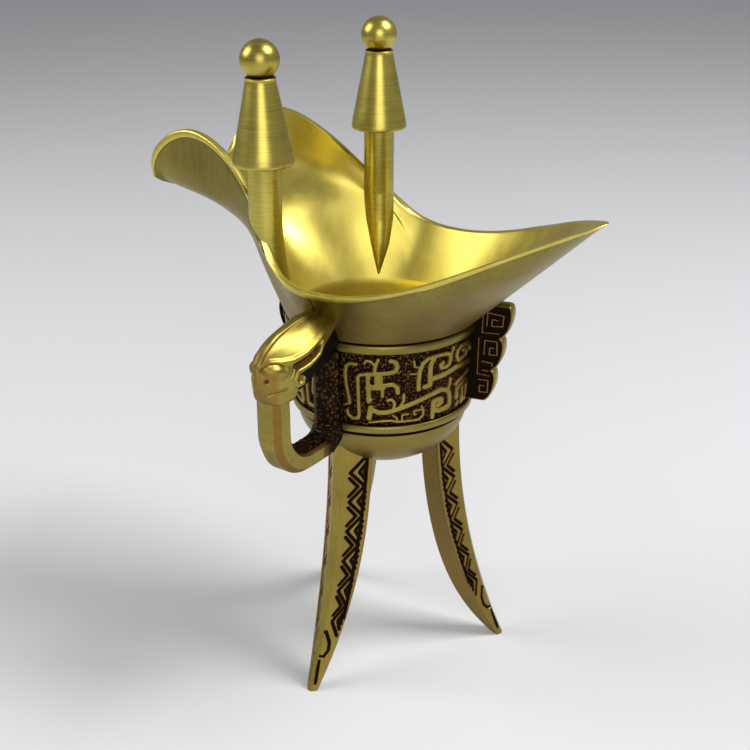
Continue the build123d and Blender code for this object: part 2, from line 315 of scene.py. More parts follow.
# Head sections: reach, crest z, then half width and z of the eave, the cheek and the jaw
HEAD_SECTIONS = [
    (21.0, 95.6, 4.0, 93.4, 4.6, 90.0, 3.4, 84.6),
    (27.0, 96.2, 4.6, 93.8, 5.3, 90.0, 3.8, 83.4),
    (33.0, 96.1, 5.2, 92.4, 6.1, 88.8, 4.2, 81.8),
    (37.0, 95.6, 4.9, 91.2, 5.8, 88.0, 4.0, 80.9),
    (40.0, 94.9, 3.9, 90.6, 5.0, 87.4, 3.6, 80.7),
    (43.0, 93.3, 2.5, 90.3, 3.5, 87.0, 2.8, 81.1),
    (45.0, 91.6, 1.2, 89.8, 1.9, 87.0, 1.4, 83.2),
    (46.1, 89.9, 0.3, 89.2, 0.5, 87.4, 0.4, 85.6),
]
HEAD_ROWS = 150
HEAD_STEPS = 20
HEAD_BLUR = 25
HEAD_MIDDLE_Z = 88.0

# Features on one side of the head, as (x, -reach, z); the eye is an oval along a line
HEAD_BROW = [
    (4.2, -26.7, 94.0), (5.2, -31.1, 92.3), (5.2, -36.0, 90.9), (4.5, -39.0, 90.3), (3.4, -41.4, 90.4),
    (2.0, -43.5, 90.7), (1.2, -44.9, 90.0),
]
HEAD_TROUGH = [(5.4, -31.8, 91.2), (5.7, -34.5, 90.0), (5.4, -37.2, 89.4), (5.0, -39.0, 89.0)]
HEAD_EAR = [
    (5.4, -30.7, 91.6), (5.9, -32.6, 89.8), (5.9, -36.0, 88.6), (5.3, -38.9, 88.0), (5.0, -39.7, 86.6),
    (5.1, -38.9, 85.0), (5.4, -37.6, 85.2), (5.5, -37.5, 86.3),
]
HEAD_MOUTH = [(0.4, -45.0, 83.0), (2.3, -44.3, 84.0), (3.5, -42.7, 84.2), (4.3, -41.0, 84.6)]
EYE_CENTRE = (2.75, -43.3, 88.75)
EYE_ALONG = (0.577, 0.802, -0.15)
EYE_HALF_LENGTH = 2.4
EYE_HALF_HEIGHT = 1.45
LID_RING = 1.16
EYE_CORNER = (2.0, -44.9, 87.0)
# The ear's top edge falls along the head, and behind the ear the head is sunk and dark
EAR_EDGE = (30.7, 91.2, 0.42)
EAR_END = 38.4
STRIP_WIDTH = 1.7
STRIP_EDGE = 0.95
# How far the features stand out or are sunk, in mm
EYE_HEIGHT, LID_DEPTH, BROW_HEIGHT, TROUGH_DEPTH = 0.75, 0.4, 0.4, 0.85
EAR_HEIGHT, STRIP_HEIGHT, MOUTH_DEPTH, CORNER_DEPTH, BEHIND_DEPTH = 0.7, 0.3, 0.35, 0.5, 1.1
# How much the features dull the rubbed brass; the face is a little coppery
LID_DULL, MOUTH_DULL, RECESS_DULL, STRIP_DULL, FACE_DULL = 0.45, 0.24, 0.7, 0.22, 0.14
FACE_START = 42.0
NECK_SINK = 0.8
WALL_BEND = 0.025

# Ring's centre line as reaches and heights, with its two bends, and its eight-sided section
RING_TOP = 86.0
RING_FRONT = 40.7
RING_BOTTOM = 64.0
RING_BACK = 21.1
FRONT_BEND = 9
FRONT_CENTRE = (31.7, 73.0)
BACK_BEND = 4.8
BACK_CENTRE = (25.9, 68.8)
RING_SECTION = [
    (1, 0.52), (0.52, 1), (-0.52, 1), (-1, 0.52), (-1, -0.52), (-0.52, -1), (0.52, -1), (1, -0.52),
]
RING_STEPS = 12
RING_HALF_WIDTH = 3.3
RING_HALF_DEPTH = 2.6
RING_COLUMN_STEP = 0.22
RING_ROOT = 20.6
PATINA_REACH = 28.5
PATINA_FADE = 3.5
PEBBLE_SPACING = 1.0
PEBBLE_HEIGHT = 0.25
PEBBLE_SEED = 21
PEBBLE_WEAR = 0.55
BEVEL_DULL = 0.2

# Flange outline and the square hooks on its faces, in mm from the axis and above the table
FLANGE_AZIMUTHS = {"flange_tail": 14.0, "flange_spout": 180.0}
FLANGE_TOP = 93.2
FLANGE_BOTTOM = 69.6
FLANGE_REACH = 31.6
FLANGE_TAPER = 5.0
FLANGE_HALF = 1.7
FLANGE_ROWS = 230
FLANGE_COLUMNS = 120
FLANGE_LOBES = 3
LAST_LOBE = 2.9999
LOBE_DEPTH = 1.7
PLATE_START = 19.0
PLATE_ROOT = 20.4
PLATE_SINK = 0.6
BORDER_WIDTH = 0.9
BORDER_BEVEL = 0.25
BORDER_CLEAR = 0.7
EDGE_ROUND = 0.35
# Wear of the hooks and border, its gain at the plate's very edge and the width of that edge
HOOK_WEAR = 0.79
TIP_GAIN = 0.21
TIP_WIDTH = 0.25
FLANGE_STROKES = [
    (0.4, [
        (25.2, 88.0), (25.3, 91.2), (29.0, 90.8), (28.8, 88.3), (26.3, 88.1), (26.4, 89.7), (27.7, 89.6),
    ]),
    (0.35, [(24.3, 92.0), (24.2, 86.3), (28.0, 86.5)]),
    (0.4, [
        (24.8, 81.2), (24.9, 84.5), (27.7, 84.5), (27.8, 81.3), (26.0, 81.2), (26.1, 82.9), (27.0, 82.9),
    ]),
    (0.4, [(24.4, 79.4), (26.8, 79.2), (26.8, 77.3), (24.5, 77.2)]),
    (0.35, [(23.5, 85.0), (23.4, 76.2), (26.2, 76.0)]),
    (0.4, [(23.8, 74.8), (26.0, 74.8), (25.9, 71.9), (24.0, 71.8), (24.0, 73.4), (25.0, 73.4)]),
]

# Lamps as (place and size in m, power in W), the point they face, and the world's strength
LAMPS = {
    "key_softbox": ((0.44, 0.22, 0.76), 0.34, 6.2),
    "side_softbox": ((-0.5, -0.3, 0.5), 0.4, 2.2),
    "fill_softbox": ((0.5, -0.62, 0.36), 0.5, 2.3),
}
LAMP_AIM = (0, 0, 0.09)
WORLD_STRENGTH = 0.6

# Floor: half its side in m, its cells, and the size and strength of its mottle
FLOOR_HALF = 4.0
FLOOR_CELLS = 40
MOTTLE_MM = 40
MOTTLE_SHADE = 0.98
FLOOR_ROUGHNESS = 0.75

# Camera fitted to the photograph: place in mm from the axis, turn and tilt in degrees
IMAGE_PIXELS = 750
SENSOR_MM = 36.0
FOCAL_PIXELS = 1181.13
CAMERA_PLACE = (140.884, -211.916, 184.674)
CAMERA_YAW = 34.0
CAMERA_PITCH = 23.96

# Mix node's sockets by number, because their names repeat
COLOUR_A, COLOUR_B, COLOUR_OUT = 6, 7, 2
VALUE_A, VALUE_B, VALUE_OUT = 2, 3, 0

# Brass: size of its drift in tone, spread of its gloss, and the levels of the wear_and_shade attribute at
# which patina, also used as painted shade, and bare brass begin
DRIFT_MM = 12
GLOSS_SPREAD = 0.07
PATINA_WEAR = 0.12
EDGE_WEAR = 0.72
BARE_WEAR = 0.97
PATINA_ROUGHNESS = 0.6

# Points closer than this, in m, are joined, and edges shorter than this are taken out
JOIN_DISTANCE = 1e-7
SHORT_EDGE = 1e-8


def linear(hex_code):
    """Linear colour of an sRGB hex value."""
    shares = [int(hex_code[i:i + 2], 16) / 255 for i in (1, 3, 5)]
    channels = [s / 12.92 if s <= 0.04045 else ((s + 0.055) / 1.055) ** 2.4 for s in shares]
    return tuple(channels)


def length_setting(name, description, metres):
    """Length that can be set in the panel."""
    return bpy.props.FloatProperty(name=name, description=description, default=metres, unit="LENGTH")


def colour_setting(name, description, hex_code):
    """Colour that can be set in the panel."""
    return bpy.props.FloatVectorProperty(
        name=name, description=description, subtype="COLOR", default=linear(hex_code), min=0, max=1
    )


class JueSizes(bpy.types.PropertyGroup):
    """Sizes of the cup's visible detail."""

    wall: length_setting("Wall", "Thickness of the cast wall", 0.0016)
    relief: length_setting("Relief", "Height of the dragon strokes above the ground", 0.0007)
    granule: length_setting("Granule", "Spacing of the cast granules on the ground", 0.00062)
    groove: length_setting("Groove", "Depth of the leg and flange grooves", 0.0005)
    groove_width: length_setting("Groove width", "Width of the leg grooves", 0.0007)


class JueColours(bpy.types.PropertyGroup):
    """Colours of the brass, its patina and the stage."""

    # Outside and inside are one brass: the outside colour is partly painted shade for the dark surroundings
    # it reflects, the inside colour partly painted light from the lamp above
    outside: colour_setting("Outside", "Brushed brass", "#857A3C")
    inside: colour_setting("Inside", "Bright brass inside the cup", "#CFBE5C")
    turned: colour_setting("Turned", "Bright brass of the posts", "#B5A750")
    relief: colour_setting("Relief", "Rubbed brass of the ornament", "#95873F")
    edge: colour_setting("Edge", "Coppery rubbed edges", "#835C30")
    patina: colour_setting("Patina", "Dark patina in recesses", "#1D160D")
    floor: colour_setting("Floor", "Studio floor", "#D9D9DA")
    world: colour_setting("World", "Studio walls, which give the even light", "#B9BABD")


def add_node(tree, kind, settings, links=()):
    """Adds a node, sets its properties and sockets, and links (socket, source) pairs to it."""
    node = tree.nodes.new(kind)
    for key, value in settings.items():
        if isinstance(key, str) and hasattr(node, key):
            setattr(node, key, value)
        else:
            node.inputs[key].default_value = value
    for socket, source in links:
        tree.links.new(source, node.inputs[socket])
    return node


def opaque(colour):
    """Colour with full alpha, for a node socket."""
    return (*tuple(colour), 1.0)


def cast_brass(name, colour, roughness, grain_mm, tone=0.22, worn_and_shaded=False, bump_mm=0.02):
    """Brass with a grain of grain_mm along X, Y and Z; with worn_and_shaded it is dark where its
    wear_and_shade attribute is low, which marks patina and, on some pieces, painted shade.
    """
    colours = bpy.context.scene.jue_colours
    material = bpy.data.materials.new(name)
    material.use_nodes = True
    tree = material.node_tree
    shader = tree.nodes["Principled BSDF"]
    place = add_node(tree, "ShaderNodeTexCoord", {}).outputs["Object"]
    scale = {"Scale": tuple(1 / (MM * g) for g in grain_mm)}
    stretch = add_node(tree, "ShaderNodeMapping", scale, [("Vector", place)]).outputs["Vector"]
    streaks = {"Scale": 1.0, "Detail": 4.0, "Roughness": 0.6}
    grain = add_node(tree, "ShaderNodeTexNoise", streaks, [("Vector", stretch)]).outputs["Fac"]
    # Slow drift of tone, from uneven lacquer and handling
    patches = {"Scale": 1 / (DRIFT_MM * MM), "Detail": 2.0}
    drift = add_node(tree, "ShaderNodeTexNoise", patches, [("Vector", place)]).outputs["Fac"]
    both = [(0, grain), (1, drift)]
    spread = add_node(tree, "ShaderNodeMath", {"operation": "ADD"}, both).outputs["Value"]
    range_used = {"From Min": 0.7, "From Max": 1.3}
    shade = add_node(tree, "ShaderNodeMapRange", range_used, [("Value", spread)]).outputs["Result"]
    tones = {
        "data_type": "RGBA",
        COLOUR_A: opaque([c * (1 - tone) for c in colour]),
        COLOUR_B: opaque([min(c * (1 + tone), 1) for c in colour]),
    }
    finish = add_node(tree, "ShaderNodeMix", tones, [(0, shade)]).outputs[COLOUR_OUT]
    spans = {"To Min": roughness - GLOSS_SPREAD, "To Max": roughness + GLOSS_SPREAD}
    gloss = add_node(tree, "ShaderNodeMapRange", spans, [("Value", grain)]).outputs["Result"]
    if worn_and_shaded:
        wear_and_shade = add_node(tree, "ShaderNodeAttribute", {"attribute_name": "wear_and_shade"}).outputs["Fac"]
        ramp = add_node(tree, "ShaderNodeValToRGB", {}, [("Fac", wear_and_shade)])
        # The patina colour also serves as painted shade where the attribute is lowered for shade
        stops = [(PATINA_WEAR, colours.patina), (EDGE_WEAR, colours.edge)]
        for stop, (position, shown) in zip(ramp.color_ramp.elements, stops):
            stop.position = position
            stop.color = opaque(shown)
        rubbed = {"From Min": EDGE_WEAR, "From Max": BARE_WEAR}
        bare = add_node(tree, "ShaderNodeMapRange", rubbed, [("Value", wear_and_shade)]).outputs["Result"]
        layers = [(0, bare), (COLOUR_A, ramp.outputs["Color"]), (COLOUR_B, finish)]
        finish = add_node(tree, "ShaderNodeMix", {"data_type": "RGBA"}, layers).outputs[COLOUR_OUT]
        matt = {"data_type": "FLOAT", VALUE_A: PATINA_ROUGHNESS}
        gloss = add_node(tree, "ShaderNodeMix", matt, [(0, bare), (VALUE_B, gloss)]).outputs[VALUE_OUT]
    depth = {"Strength": 0.5, "Distance": bump_mm * MM}
    relief = add_node(tree, "ShaderNodeBump", depth, [("Height", grain)])
    tree.links.new(finish, shader.inputs["Base Color"])
    tree.links.new(gloss, shader.inputs["Roughness"])
    tree.links.new(relief.outputs["Normal"], shader.inputs["Normal"])
    shader.inputs["Metallic"].default_value = 1.0
    return material


def finishes():
    """The cup's materials by name, made once."""
    colours = bpy.context.scene.jue_colours
    made = bpy.data.materials.get("brushed_antique_brass_painted_shade")
    if made is None:
        # Cast brass brushed round the bowl, olive, its base colour partly its own and partly darkened as
        # painted shade for the dark surroundings it reflects: soft streaked gloss. Brush lines are about
        # 0.1 mm apart and are drawn at 0.35 mm, so that they show
        cast_brass("brushed_antique_brass_painted_shade", colours.outside, 0.36, (9, 9, 0.35), worn_and_shaded=True)
        # The same brass, with the same painted shade in its colour, brushed up and down the mouth, coarser:
        # streaks that fade into each other
        cast_brass("upright_brushed_brass_painted_shade", colours.outside, 0.36, (0.4, 0.4, 9), tone=0.26, worn_and_shaded=True)
        # Buffed brass inside the cup: smoother, with faint polishing lines down the wall; its brighter base
        # colour is partly painted light from the lamp above
        cast_brass("buffed_brass_inside_painted_light", colours.inside, 0.38, (3, 3, 5), tone=0.12, bump_mm=0.01)
        # Brass turned on a lathe: fine rings, drawn at 0.3 mm though the tool's feed is finer
        cast_brass("turned_brass", colours.turned, 0.33, (7, 7, 0.3), tone=0.26, worn_and_shaded=True)
        # Relief rubbed bright over dark patina: gold tops, coppery edges, near-black ground
        cast_brass("rubbed_patinated_brass", colours.relief, 0.38, (1.2, 1.2, 1.2), worn_and_shaded=True)
        # Blades drawn along their length: streaks run down the leg, grooves stay black
        cast_brass("drawn_patinated_brass", colours.relief, 0.36, (0.35, 0.35, 8), worn_and_shaded=True)
    return bpy.data.materials


def natural_spline(knots, values):
    """Function of position that runs smoothly through values, one row for each knot."""
    knots = np.asarray(knots, float)
    values = np.asarray(values, float)
    gaps = np.diff(knots)
    count = len(knots)
    system = np.eye(count)
    bends = np.zeros_like(values)
    for i in range(1, count - 1):
        system[i, i - 1:i + 2] = gaps[i - 1], 2 * (gaps[i - 1] + gaps[i]), gaps[i]
        bends[i] = 6 * ((values[i + 1] - values[i]) / gaps[i] - (values[i] - values[i - 1]) / gaps[i - 1])
    curves = np.linalg.solve(system, bends)

    def at(position):
        i = np.clip(np.searchsorted(knots, position) - 1, 0, count - 2)
        before = knots[i + 1] - position
        after = position - knots[i]
        gap = gaps[i]
        low, high = np.take_along_axis(values, i, 0), np.take_along_axis(values, i + 1, 0)
        bend_low, bend_high = np.take_along_axis(curves, i, 0), np.take_along_axis(curves, i + 1, 0)
        cubic = (bend_low * before**3 + bend_high * after**3) / (6 * gap)
        cubic = cubic + (low / gap - bend_low * gap / 6) * before
        return cubic + (high / gap - bend_high * gap / 6) * after

    return at


def distance_to(points, corners):
    """Shortest distance from each point to the line through the corners."""
    corners = np.asarray(corners, float)
    best = np.full(points.shape[:-1], np.inf)
    for start, end in zip(corners[:-1], corners[1:]):
        along = end - start
        share = np.clip(((points - start) @ along) / (along @ along), 0, 1)
        best = np.minimum(best, np.linalg.norm(points - start - share[..., None] * along, axis=-1))
    return best


def smooth(share):
    """Share from 0 to 1 that starts and ends gently."""
    return share * share * (3 - 2 * share)


def raised(distance, width, bevel):
    """1 on a stroke's flat top, falling smoothly to 0 across its sloping side."""
    return smooth(np.clip((width / 2 + bevel / 2 - distance) / bevel, 0, 1))


def inside_line(corners, x, z):
    """Whether each point lies inside the closed line through the corners."""
    x, z = np.broadcast_arrays(np.asarray(x, float), np.asarray(z, float))
    inside = np.zeros(x.shape, bool)
    for (x0, z0), (x1, z1) in zip(corners, np.roll(corners, -1, axis=0)):
        if z0 != z1:
            crosses = (z0 > z) != (z1 > z)
            inside ^= crosses & (x < (x1 - x0) * (z - z0) / (z1 - z0) + x0)
    return inside


def eased(value):
    """Smooth stand-in for a value that is cut off below nought."""
    return KEEL_BLEND * np.log1p(np.exp(value / KEEL_BLEND))


def mouth_outline(angles, z, inset):
    """X and Y of the mouth's level outlines at heights z, drawn in by inset."""
    rise = np.maximum(np.asarray(z, float) - MOUTH_Z, 0)
    c, s = np.cos(angles), np.sin(angles)
    half = MOUTH_RADIUS + SIDE_FLARE * np.minimum(rise, SHOULDER_RISE) - inset

    # Tail: an ellipse that turns pointed towards the rim
    end_inset = inset * (1 + TAIL_END_INSET * np.minimum(rise / SHOULDER_RISE, 1))
    tail = MOUTH_RADIUS + (TAIL_REACH - MOUTH_RADIUS) * rise / (TAIL_Z - MOUTH_Z) - end_inset
    power = 2 / (2 - TAIL_POINT * np.clip((rise - TAIL_POINT_RISE) / TAIL_POINT_SPAN, 0, 1))
    tail_x = tail * np.abs(c) ** power
    tail_y = half * np.abs(s) ** power

    # Spout: the round throat opens into the channel, whose end lies beyond the lip
    lean = CHANNEL_END_LEAN * np.maximum(rise - KEEL_RISE - inset, 0)
    limit = SPOUT_REACH + CHANNEL_END_GAP + lean - inset
    left = np.maximum(1 - rise / (KEEL_RISE + inset), 1e-9)
    reach = np.minimum(MOUTH_RADIUS - inset - KEEL_LENGTH * np.log(left), limit)
    spout_x = reach * np.abs(c)
    out = spout_x + inset
    keel = (KEEL_RISE + inset) * (1 - np.exp(-eased(out - MOUTH_RADIUS) / KEEL_LENGTH))
    depth = CHANNEL_DEPTH + THROAT_DEPTH * np.exp(-eased(out - THROAT_X) / THROAT_LENGTH)
    fill = np.clip((rise - keel) / depth, 0, 1)
    width = SPOUT_HALF_WIDTH + SPOUT_SHOULDER * np.exp(-(spout_x - SHOULDER_X) / SHOULDER_LENGTH)
    width = (width**-WIDTH_BLEND + WIDEST_HALF**-WIDTH_BLEND) ** (-1 / WIDTH_BLEND) - inset
    end = np.sqrt(np.clip(1 - (spout_x / limit) ** CHANNEL_END_POWER, 0, 1))
    channel = width * (1 - (1 - fill) ** CHANNEL_ROUNDNESS) * end
    throat = half * np.sqrt(np.clip(1 - (spout_x / reach) ** 2, 0, 1))
    lift = np.minimum(rise / THROAT_RISE, 1)
    opened = (1 - np.exp(-((spout_x / WAIST_LENGTH) ** 4))) * smooth(lift) ** THROAT_FADE
    spout_y = throat + (channel - throat) * opened
    return np.where(c >= 0, tail_x, -spout_x), np.where(c >= 0, tail_y, spout_y) * np.sign(s)


def mouth_wall(angles, inset, top, count, drops=(0.0,)):
    """Rows at even steps up each angle's line on the wall, then rows at the drops below its top."""
    foot = MOUTH_Z + FOOT_GAP
    keel = MOUTH_Z + (KEEL_RISE + inset) * (1 - np.exp(-np.linspace(0, KEEL_SPAN, KEEL_LEVELS)))
    levels = np.sort(np.concatenate([np.linspace(foot, WALL_TOP_Z, WALL_LEVELS), keel]))
    z = np.clip(levels[:, None], foot, top)
    x, y = mouth_outline(angles, z, inset)
    steps = np.sqrt(np.diff(x, axis=0) ** 2 + np.diff(y, axis=0) ** 2 + np.diff(z, axis=0) ** 2)
    along = np.concatenate([np.zeros((1, len(angles))), np.cumsum(steps, axis=0)])
    picked = []
    for lengths, heights in zip(along.T, z.T):
        even = np.linspace(0, lengths[-1] - drops[0], count)
        picked.append(np.interp(np.concatenate([even, lengths[-1] - np.array(drops)]), lengths, heights))
    z = np.stack(picked, axis=1)
    x, y = mouth_outline(angles, z, inset)
    return np.stack([x, y, z], axis=-1)


def relaxed(points, passes):
    """Grid of points smoothed both ways, with its first and last rows kept and its columns closed."""
    for _ in range(passes):
        beside = np.roll(points, 1, axis=1) + np.roll(points, -1, axis=1)
        points[1:-1] = 0.5 * points[1:-1] + 0.125 * (points[:-2] + points[2:] + beside[1:-1])
    return points


def under_rim():
    """Closed line, in the side view, round all that lies under the rim."""
    points = np.array(RIM_LINE)
    steps = np.concatenate([[0], np.cumsum(np.linalg.norm(np.diff(points, axis=0), axis=1))])
    fine = np.linspace(0, steps[-1], 240)[:, None]
    curve = natural_spline(steps, points)(np.repeat(fine, 2, axis=1))
    return np.concatenate([curve, UNDER_RIM])


def rim_heights(angles, inset, below):
    """Height at which each angle's wall meets the rim."""
    count = len(angles)
    heights = np.linspace(MOUTH_Z, RIM_SEARCH_Z, RIM_LEVELS)[:, None] * np.ones(count)
    kept = inside_line(below, mouth_outline(angles, heights, inset)[0], heights)
    first_out = np.argmin(kept, axis=0)
    low = heights[np.maximum(first_out - 1, 0), np.arange(count)]
    high = heights[first_out, np.arange(count)]
    for _ in range(RIM_HALVINGS):
        middle = (low + high) / 2
        kept = inside_line(below, mouth_outline(angles, middle, inset)[0], middle)
        low = np.where(kept, middle, low)
        high = np.where(kept, high, middle)
    return low


def even_angles(start, end, count):
    """Angles from start to end at even steps along three of the mouth's outlines."""
    fine = np.linspace(start, end, 6000)
    along = np.zeros(len(fine))
    for level in SPACING_LEVELS:
        x, y = mouth_outline(fine, level, 0)
        along[1:] += np.cumsum(np.hypot(np.diff(x), np.diff(y)))
    return np.interp(np.linspace(0, along[-1], count), along, fine)


def swung(points, azimuth):
    """Points turned about the cup's axis by an azimuth in degrees."""
    c, s = math.cos(math.radians(azimuth)), math.sin(math.radians(azimuth))
    x = points[..., 0] * c - points[..., 1] * s
    y = points[..., 0] * s + points[..., 1] * c
    return np.stack([x, y, points[..., 2]], axis=-1)


def between(corners, steps):
    """Closed line with steps points from each corner to the next."""
    share = np.tile(np.arange(steps) / steps, len(corners)).reshape((-1,) + (1,) * (corners.ndim - 1))
    following = np.repeat(np.roll(corners, -1, axis=0), steps, axis=0)
    return np.repeat(corners, steps, axis=0) * (1 - share) + following * share


def granules(u, v, spacing, seed):
    """Heights, 0 to 1, of round cast granules scattered about spacing apart."""
    random = np.random.default_rng(seed)
    columns = int(u.max() / spacing) + 3
    rows = int(v.max() / spacing) + 3
    shift_u = random.uniform(0.1, 0.9, (rows, columns))
    shift_v = random.uniform(0.1, 0.9, (rows, columns))
    size = random.uniform(0.34, 0.62, (rows, columns)) * spacing
    tall = random.uniform(0.35, 1.0, (rows, columns))
    column = (u / spacing).astype(int)
    row = (v / spacing).astype(int)
    height = np.zeros(u.shape)
    for i in (-1, 0, 1):
        for j in (-1, 0, 1):
            r = np.clip(row + i, 0, rows - 1)
            k = np.clip(column + j, 0, columns - 1)
            gap = np.hypot(u - (k + shift_u[r, k]) * spacing, v - (r + shift_v[r, k]) * spacing)
            height = np.maximum(height, tall[r, k] * np.clip(1 - (gap / size[r, k]) ** 2, 0, 1))
    return height


def grid_piece(name, points, materials, wear_and_shade, wrap=False, rows_material=None, sharp=35.0, close_ends=False):
    """Object from a grid of points (rows, columns, xyz), in mm from the cup's axis."""
    rows, columns = points.shape[:2]
    index = np.arange(rows * columns).reshape(rows, columns)
    if wrap:
        index = np.concatenate([index, index[:, :1]], axis=1)
    faces = np.stack([index[:-1, :-1], index[:-1, 1:], index[1:, 1:], index[1:, :-1]], axis=-1)
    slots = np.zeros(faces.shape[:2], int)
    if rows_material is not None:
        slots += np.asarray(rows_material)[:, None]
    polygons = faces.reshape(-1, 4).tolist()
    slots = slots.ravel().tolist()
    if close_ends:
        polygons += [index[:, 0].tolist(), index[::-1, -1].tolist()]
        slots += [0, 0]
    mesh = bpy.data.meshes.new(name)
    mesh.from_pydata(((points.reshape(-1, 3) + CUP_AXIS) * MM).tolist(), [], polygons)
    for material in materials:
        mesh.materials.append(material)
    mesh.polygons.foreach_set("material_index", slots)
    # One attribute holds wear and painted shade: low values give patina, and on the mouth's foot, rim bead,
    # stems and caps they give painted shade
    worn_and_shaded = mesh.attributes.new("wear_and_shade", "FLOAT", "POINT")
    worn_and_shaded.data.foreach_set("value", wear_and_shade.ravel().astype(np.float32))
    shape = bmesh.new()
    shape.from_mesh(mesh)
    bmesh.ops.remove_doubles(shape, verts=shape.verts, dist=JOIN_DISTANCE)
    bmesh.ops.dissolve_degenerate(shape, edges=shape.edges, dist=SHORT_EDGE)
    bmesh.ops.recalc_face_normals(shape, faces=shape.faces)
    shape.to_mesh(mesh)
    shape.free()
    mesh.shade_smooth()
    mesh.set_sharp_from_angle(angle=math.radians(sharp))
    piece = bpy.data.objects.new(name, mesh)
    bpy.context.scene.collection.objects.link(piece)
    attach(piece, "root")
    return piece


class JUE_OT_cup(bpy.types.Operator):
    """Makes the two cast halves of the cup, with the beads, the flared mouth and the rounded rim"""

    bl_idname = "jue.cup"
    bl_label = "Cup halves"

    def execute(self, context):
        wall = context.scene.jue_sizes.wall / MM
        stock = finishes()
        by_part = ("upright_brushed_brass_painted_shade", "buffed_brass_inside_painted_light", "brushed_antique_brass_painted_shade")
        below = under_rim()
        tail_angles = even_angles(-math.pi / 2, math.pi / 2, TAIL_COLUMNS)
        spout_angles = even_angles(math.pi / 2, 3 * math.pi / 2, SPOUT_COLUMNS)
        angles = np.concatenate([tail_angles[:-1], spout_angles[:-1]])
        c, s = np.cos(angles), np.sin(angles)
        rows = []
        parts = []
        worn_and_shaded = []

        def lay(points, part, wear_and_shade):
            rows.extend(points)
            parts.extend([part] * len(points))
            worn_and_shaded.extend(np.broadcast_to(wear_and_shade, len(points)))

        def turned(profile):
            return [np.stack([r * c, r * s, np.full(len(angles), z)], axis=-1) for r, z in profile]

        # Bowl, with a groove under the lower bead and another over the upper one
        bowl = []
        for a in np.linspace(0, math.acos(GROOVE_DROP / BOWL_DEPTH), BOWL_ROWS):
            bowl.append((BOWL_RADIUS * math.sin(a), LOWER_BEAD[0] - BOWL_DEPTH * math.cos(a)))
        # The whole bowl is set a little darker than bare brass
        lay(turned(bowl), BOWL_PART, BOWL_TONE)
        for inset, z, wear_and_shade in LOWER_GROOVE:
            lay(turned([(BOWL_RADIUS - inset, z)]), BOWL_PART, wear_and_shade)
        for bottom, top, radius in (LOWER_BEAD, UPPER_BEAD):
            bead = []
            for a in np.linspace(-math.pi / 2, math.pi / 2, len(BEAD_WEAR)):
                bulge = max(math.cos(a), 0.0) ** BEAD_SQUARENESS
                height = (bottom + top) / 2 + (top - bottom) / 2 * math.sin(a)
                bead.append((radius - BEAD_DEPTH + BEAD_DEPTH * bulge, height))
            lay(turned(bead), BOWL_PART, BEAD_WEAR)
            if radius == LOWER_BEAD[2]:
                ground = [(BAND_RADII[0] - BAND_INSET, top), (BAND_RADII[1] - BAND_INSET, UPPER_BEAD[0])]
                lay(turned(ground), BOWL_PART, 0.0)
        for inset, z, wear_and_shade in UPPER_GROOVE:
            lay(turned([(MOUTH_RADIUS - inset, z)]), BOWL_PART, wear_and_shade)

        # Mouth: the wall, the bead along its rim, and the smooth inside
        drops = [drop for drop, _, _ in RIM_BEAD]
        outer = mouth_wall(angles, 0, rim_heights(angles, 0, below), WALL_ROWS, drops + [0.0])
        inner = mouth_wall(angles, wall, rim_heights(angles, wall, below), WALL_ROWS)[:WALL_ROWS]
        bead = outer[WALL_ROWS:]
        outer = relaxed(outer[:WALL_ROWS], OUTER_PASSES)
        inner = relaxed(inner, INNER_PASSES)
        across = bead[-1] - inner[-1]
        across /= np.linalg.norm(across, axis=-1, keepdims=True)
        up = bead[-1] - bead[BEAD_MIDDLE]
        up /= np.linalg.norm(up, axis=-1, keepdims=True)
        # Painted shade: the mouth's wall is darker at its foot, where it faces down away from the light,
        # and lightens towards the rim
        lay(outer, WALL_PART, FOOT_PAINTED_SHADE + RIM_SHADE_LIFT * np.linspace(0, 1, WALL_ROWS) ** 2)
        for row, (_, proud, wear_and_shade) in zip(bead, RIM_BEAD):
            lay([row + across * proud], WALL_PART if wear_and_shade < 1 else INSIDE_PART, wear_and_shade)
        for share, crown in RIM_TOP:
            lay([bead[-1] * (1 - share) + inner[-1] * share + up * crown], INSIDE_PART, 1.0)
        lay(inner[::-1], INSIDE_PART, 1.0)
        band_inner = BAND_RADII[0] - wall
        depth = LOWER_BEAD[1] - BOWL_BOTTOM - wall
        inside = []
        for t in INSIDE_SHARES:
            reach = MOUTH_RADIUS - wall + (band_inner - MOUTH_RADIUS + wall) * t
            inside.append((reach, MOUTH_Z - INSIDE_DROP * t))
        for a in np.linspace(0, math.pi / 2, FLOOR_ROWS):
            inside.append((band_inner * math.cos(a), LOWER_BEAD[1] - depth * math.sin(a)))
        lay(turned(inside), INSIDE_PART, 1.0)

        points = np.array(rows)
        wear_and_shade = np.repeat(np.array(worn_and_shaded, float)[:, None], len(angles), axis=1)
        dark = np.zeros((len(rows), 1))
        outside = np.array(parts) != INSIDE_PART
        seam = len(tail_angles) - 1
        halves = {
            "cup_tail_half": (np.arange(seam + 1), "body_tail_half", 1),
            "cup_spout_half": (np.append(np.arange(seam, len(angles)), 0), "body_spout_half", -1),
        }
        for name, (columns, node, side) in halves.items():
            # The soldered seam is a dark line: an extra column beside each end keeps it narrow
            half = points[:, columns]
            beside = []
            for end, following in ((0, 1), (-1, -2)):
                gap = half[:, following] - half[:, end]
                length = np.linalg.norm(gap, axis=-1, keepdims=True)
                beside.append((half[:, end] + gap * SEAM_EDGE / np.maximum(length, SEAM_STEP))[:, None])
            half = np.concatenate([half[:, :1], beside[0], half[:, 1:-1], beside[1], half[:, -1:]], axis=1)
            half[np.ix_(outside, [0, half.shape[1] - 1], [0])] += SEAM_HALF * side
            piece = grid_piece(
                name,
                half,
                [stock[material] for material in by_part],
                wear_and_shade=np.concatenate([dark, wear_and_shade[:, columns], dark], axis=1),
                rows_material=parts[1:],
                close_ends=True,
            )
            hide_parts(node)
        return {"FINISHED"}


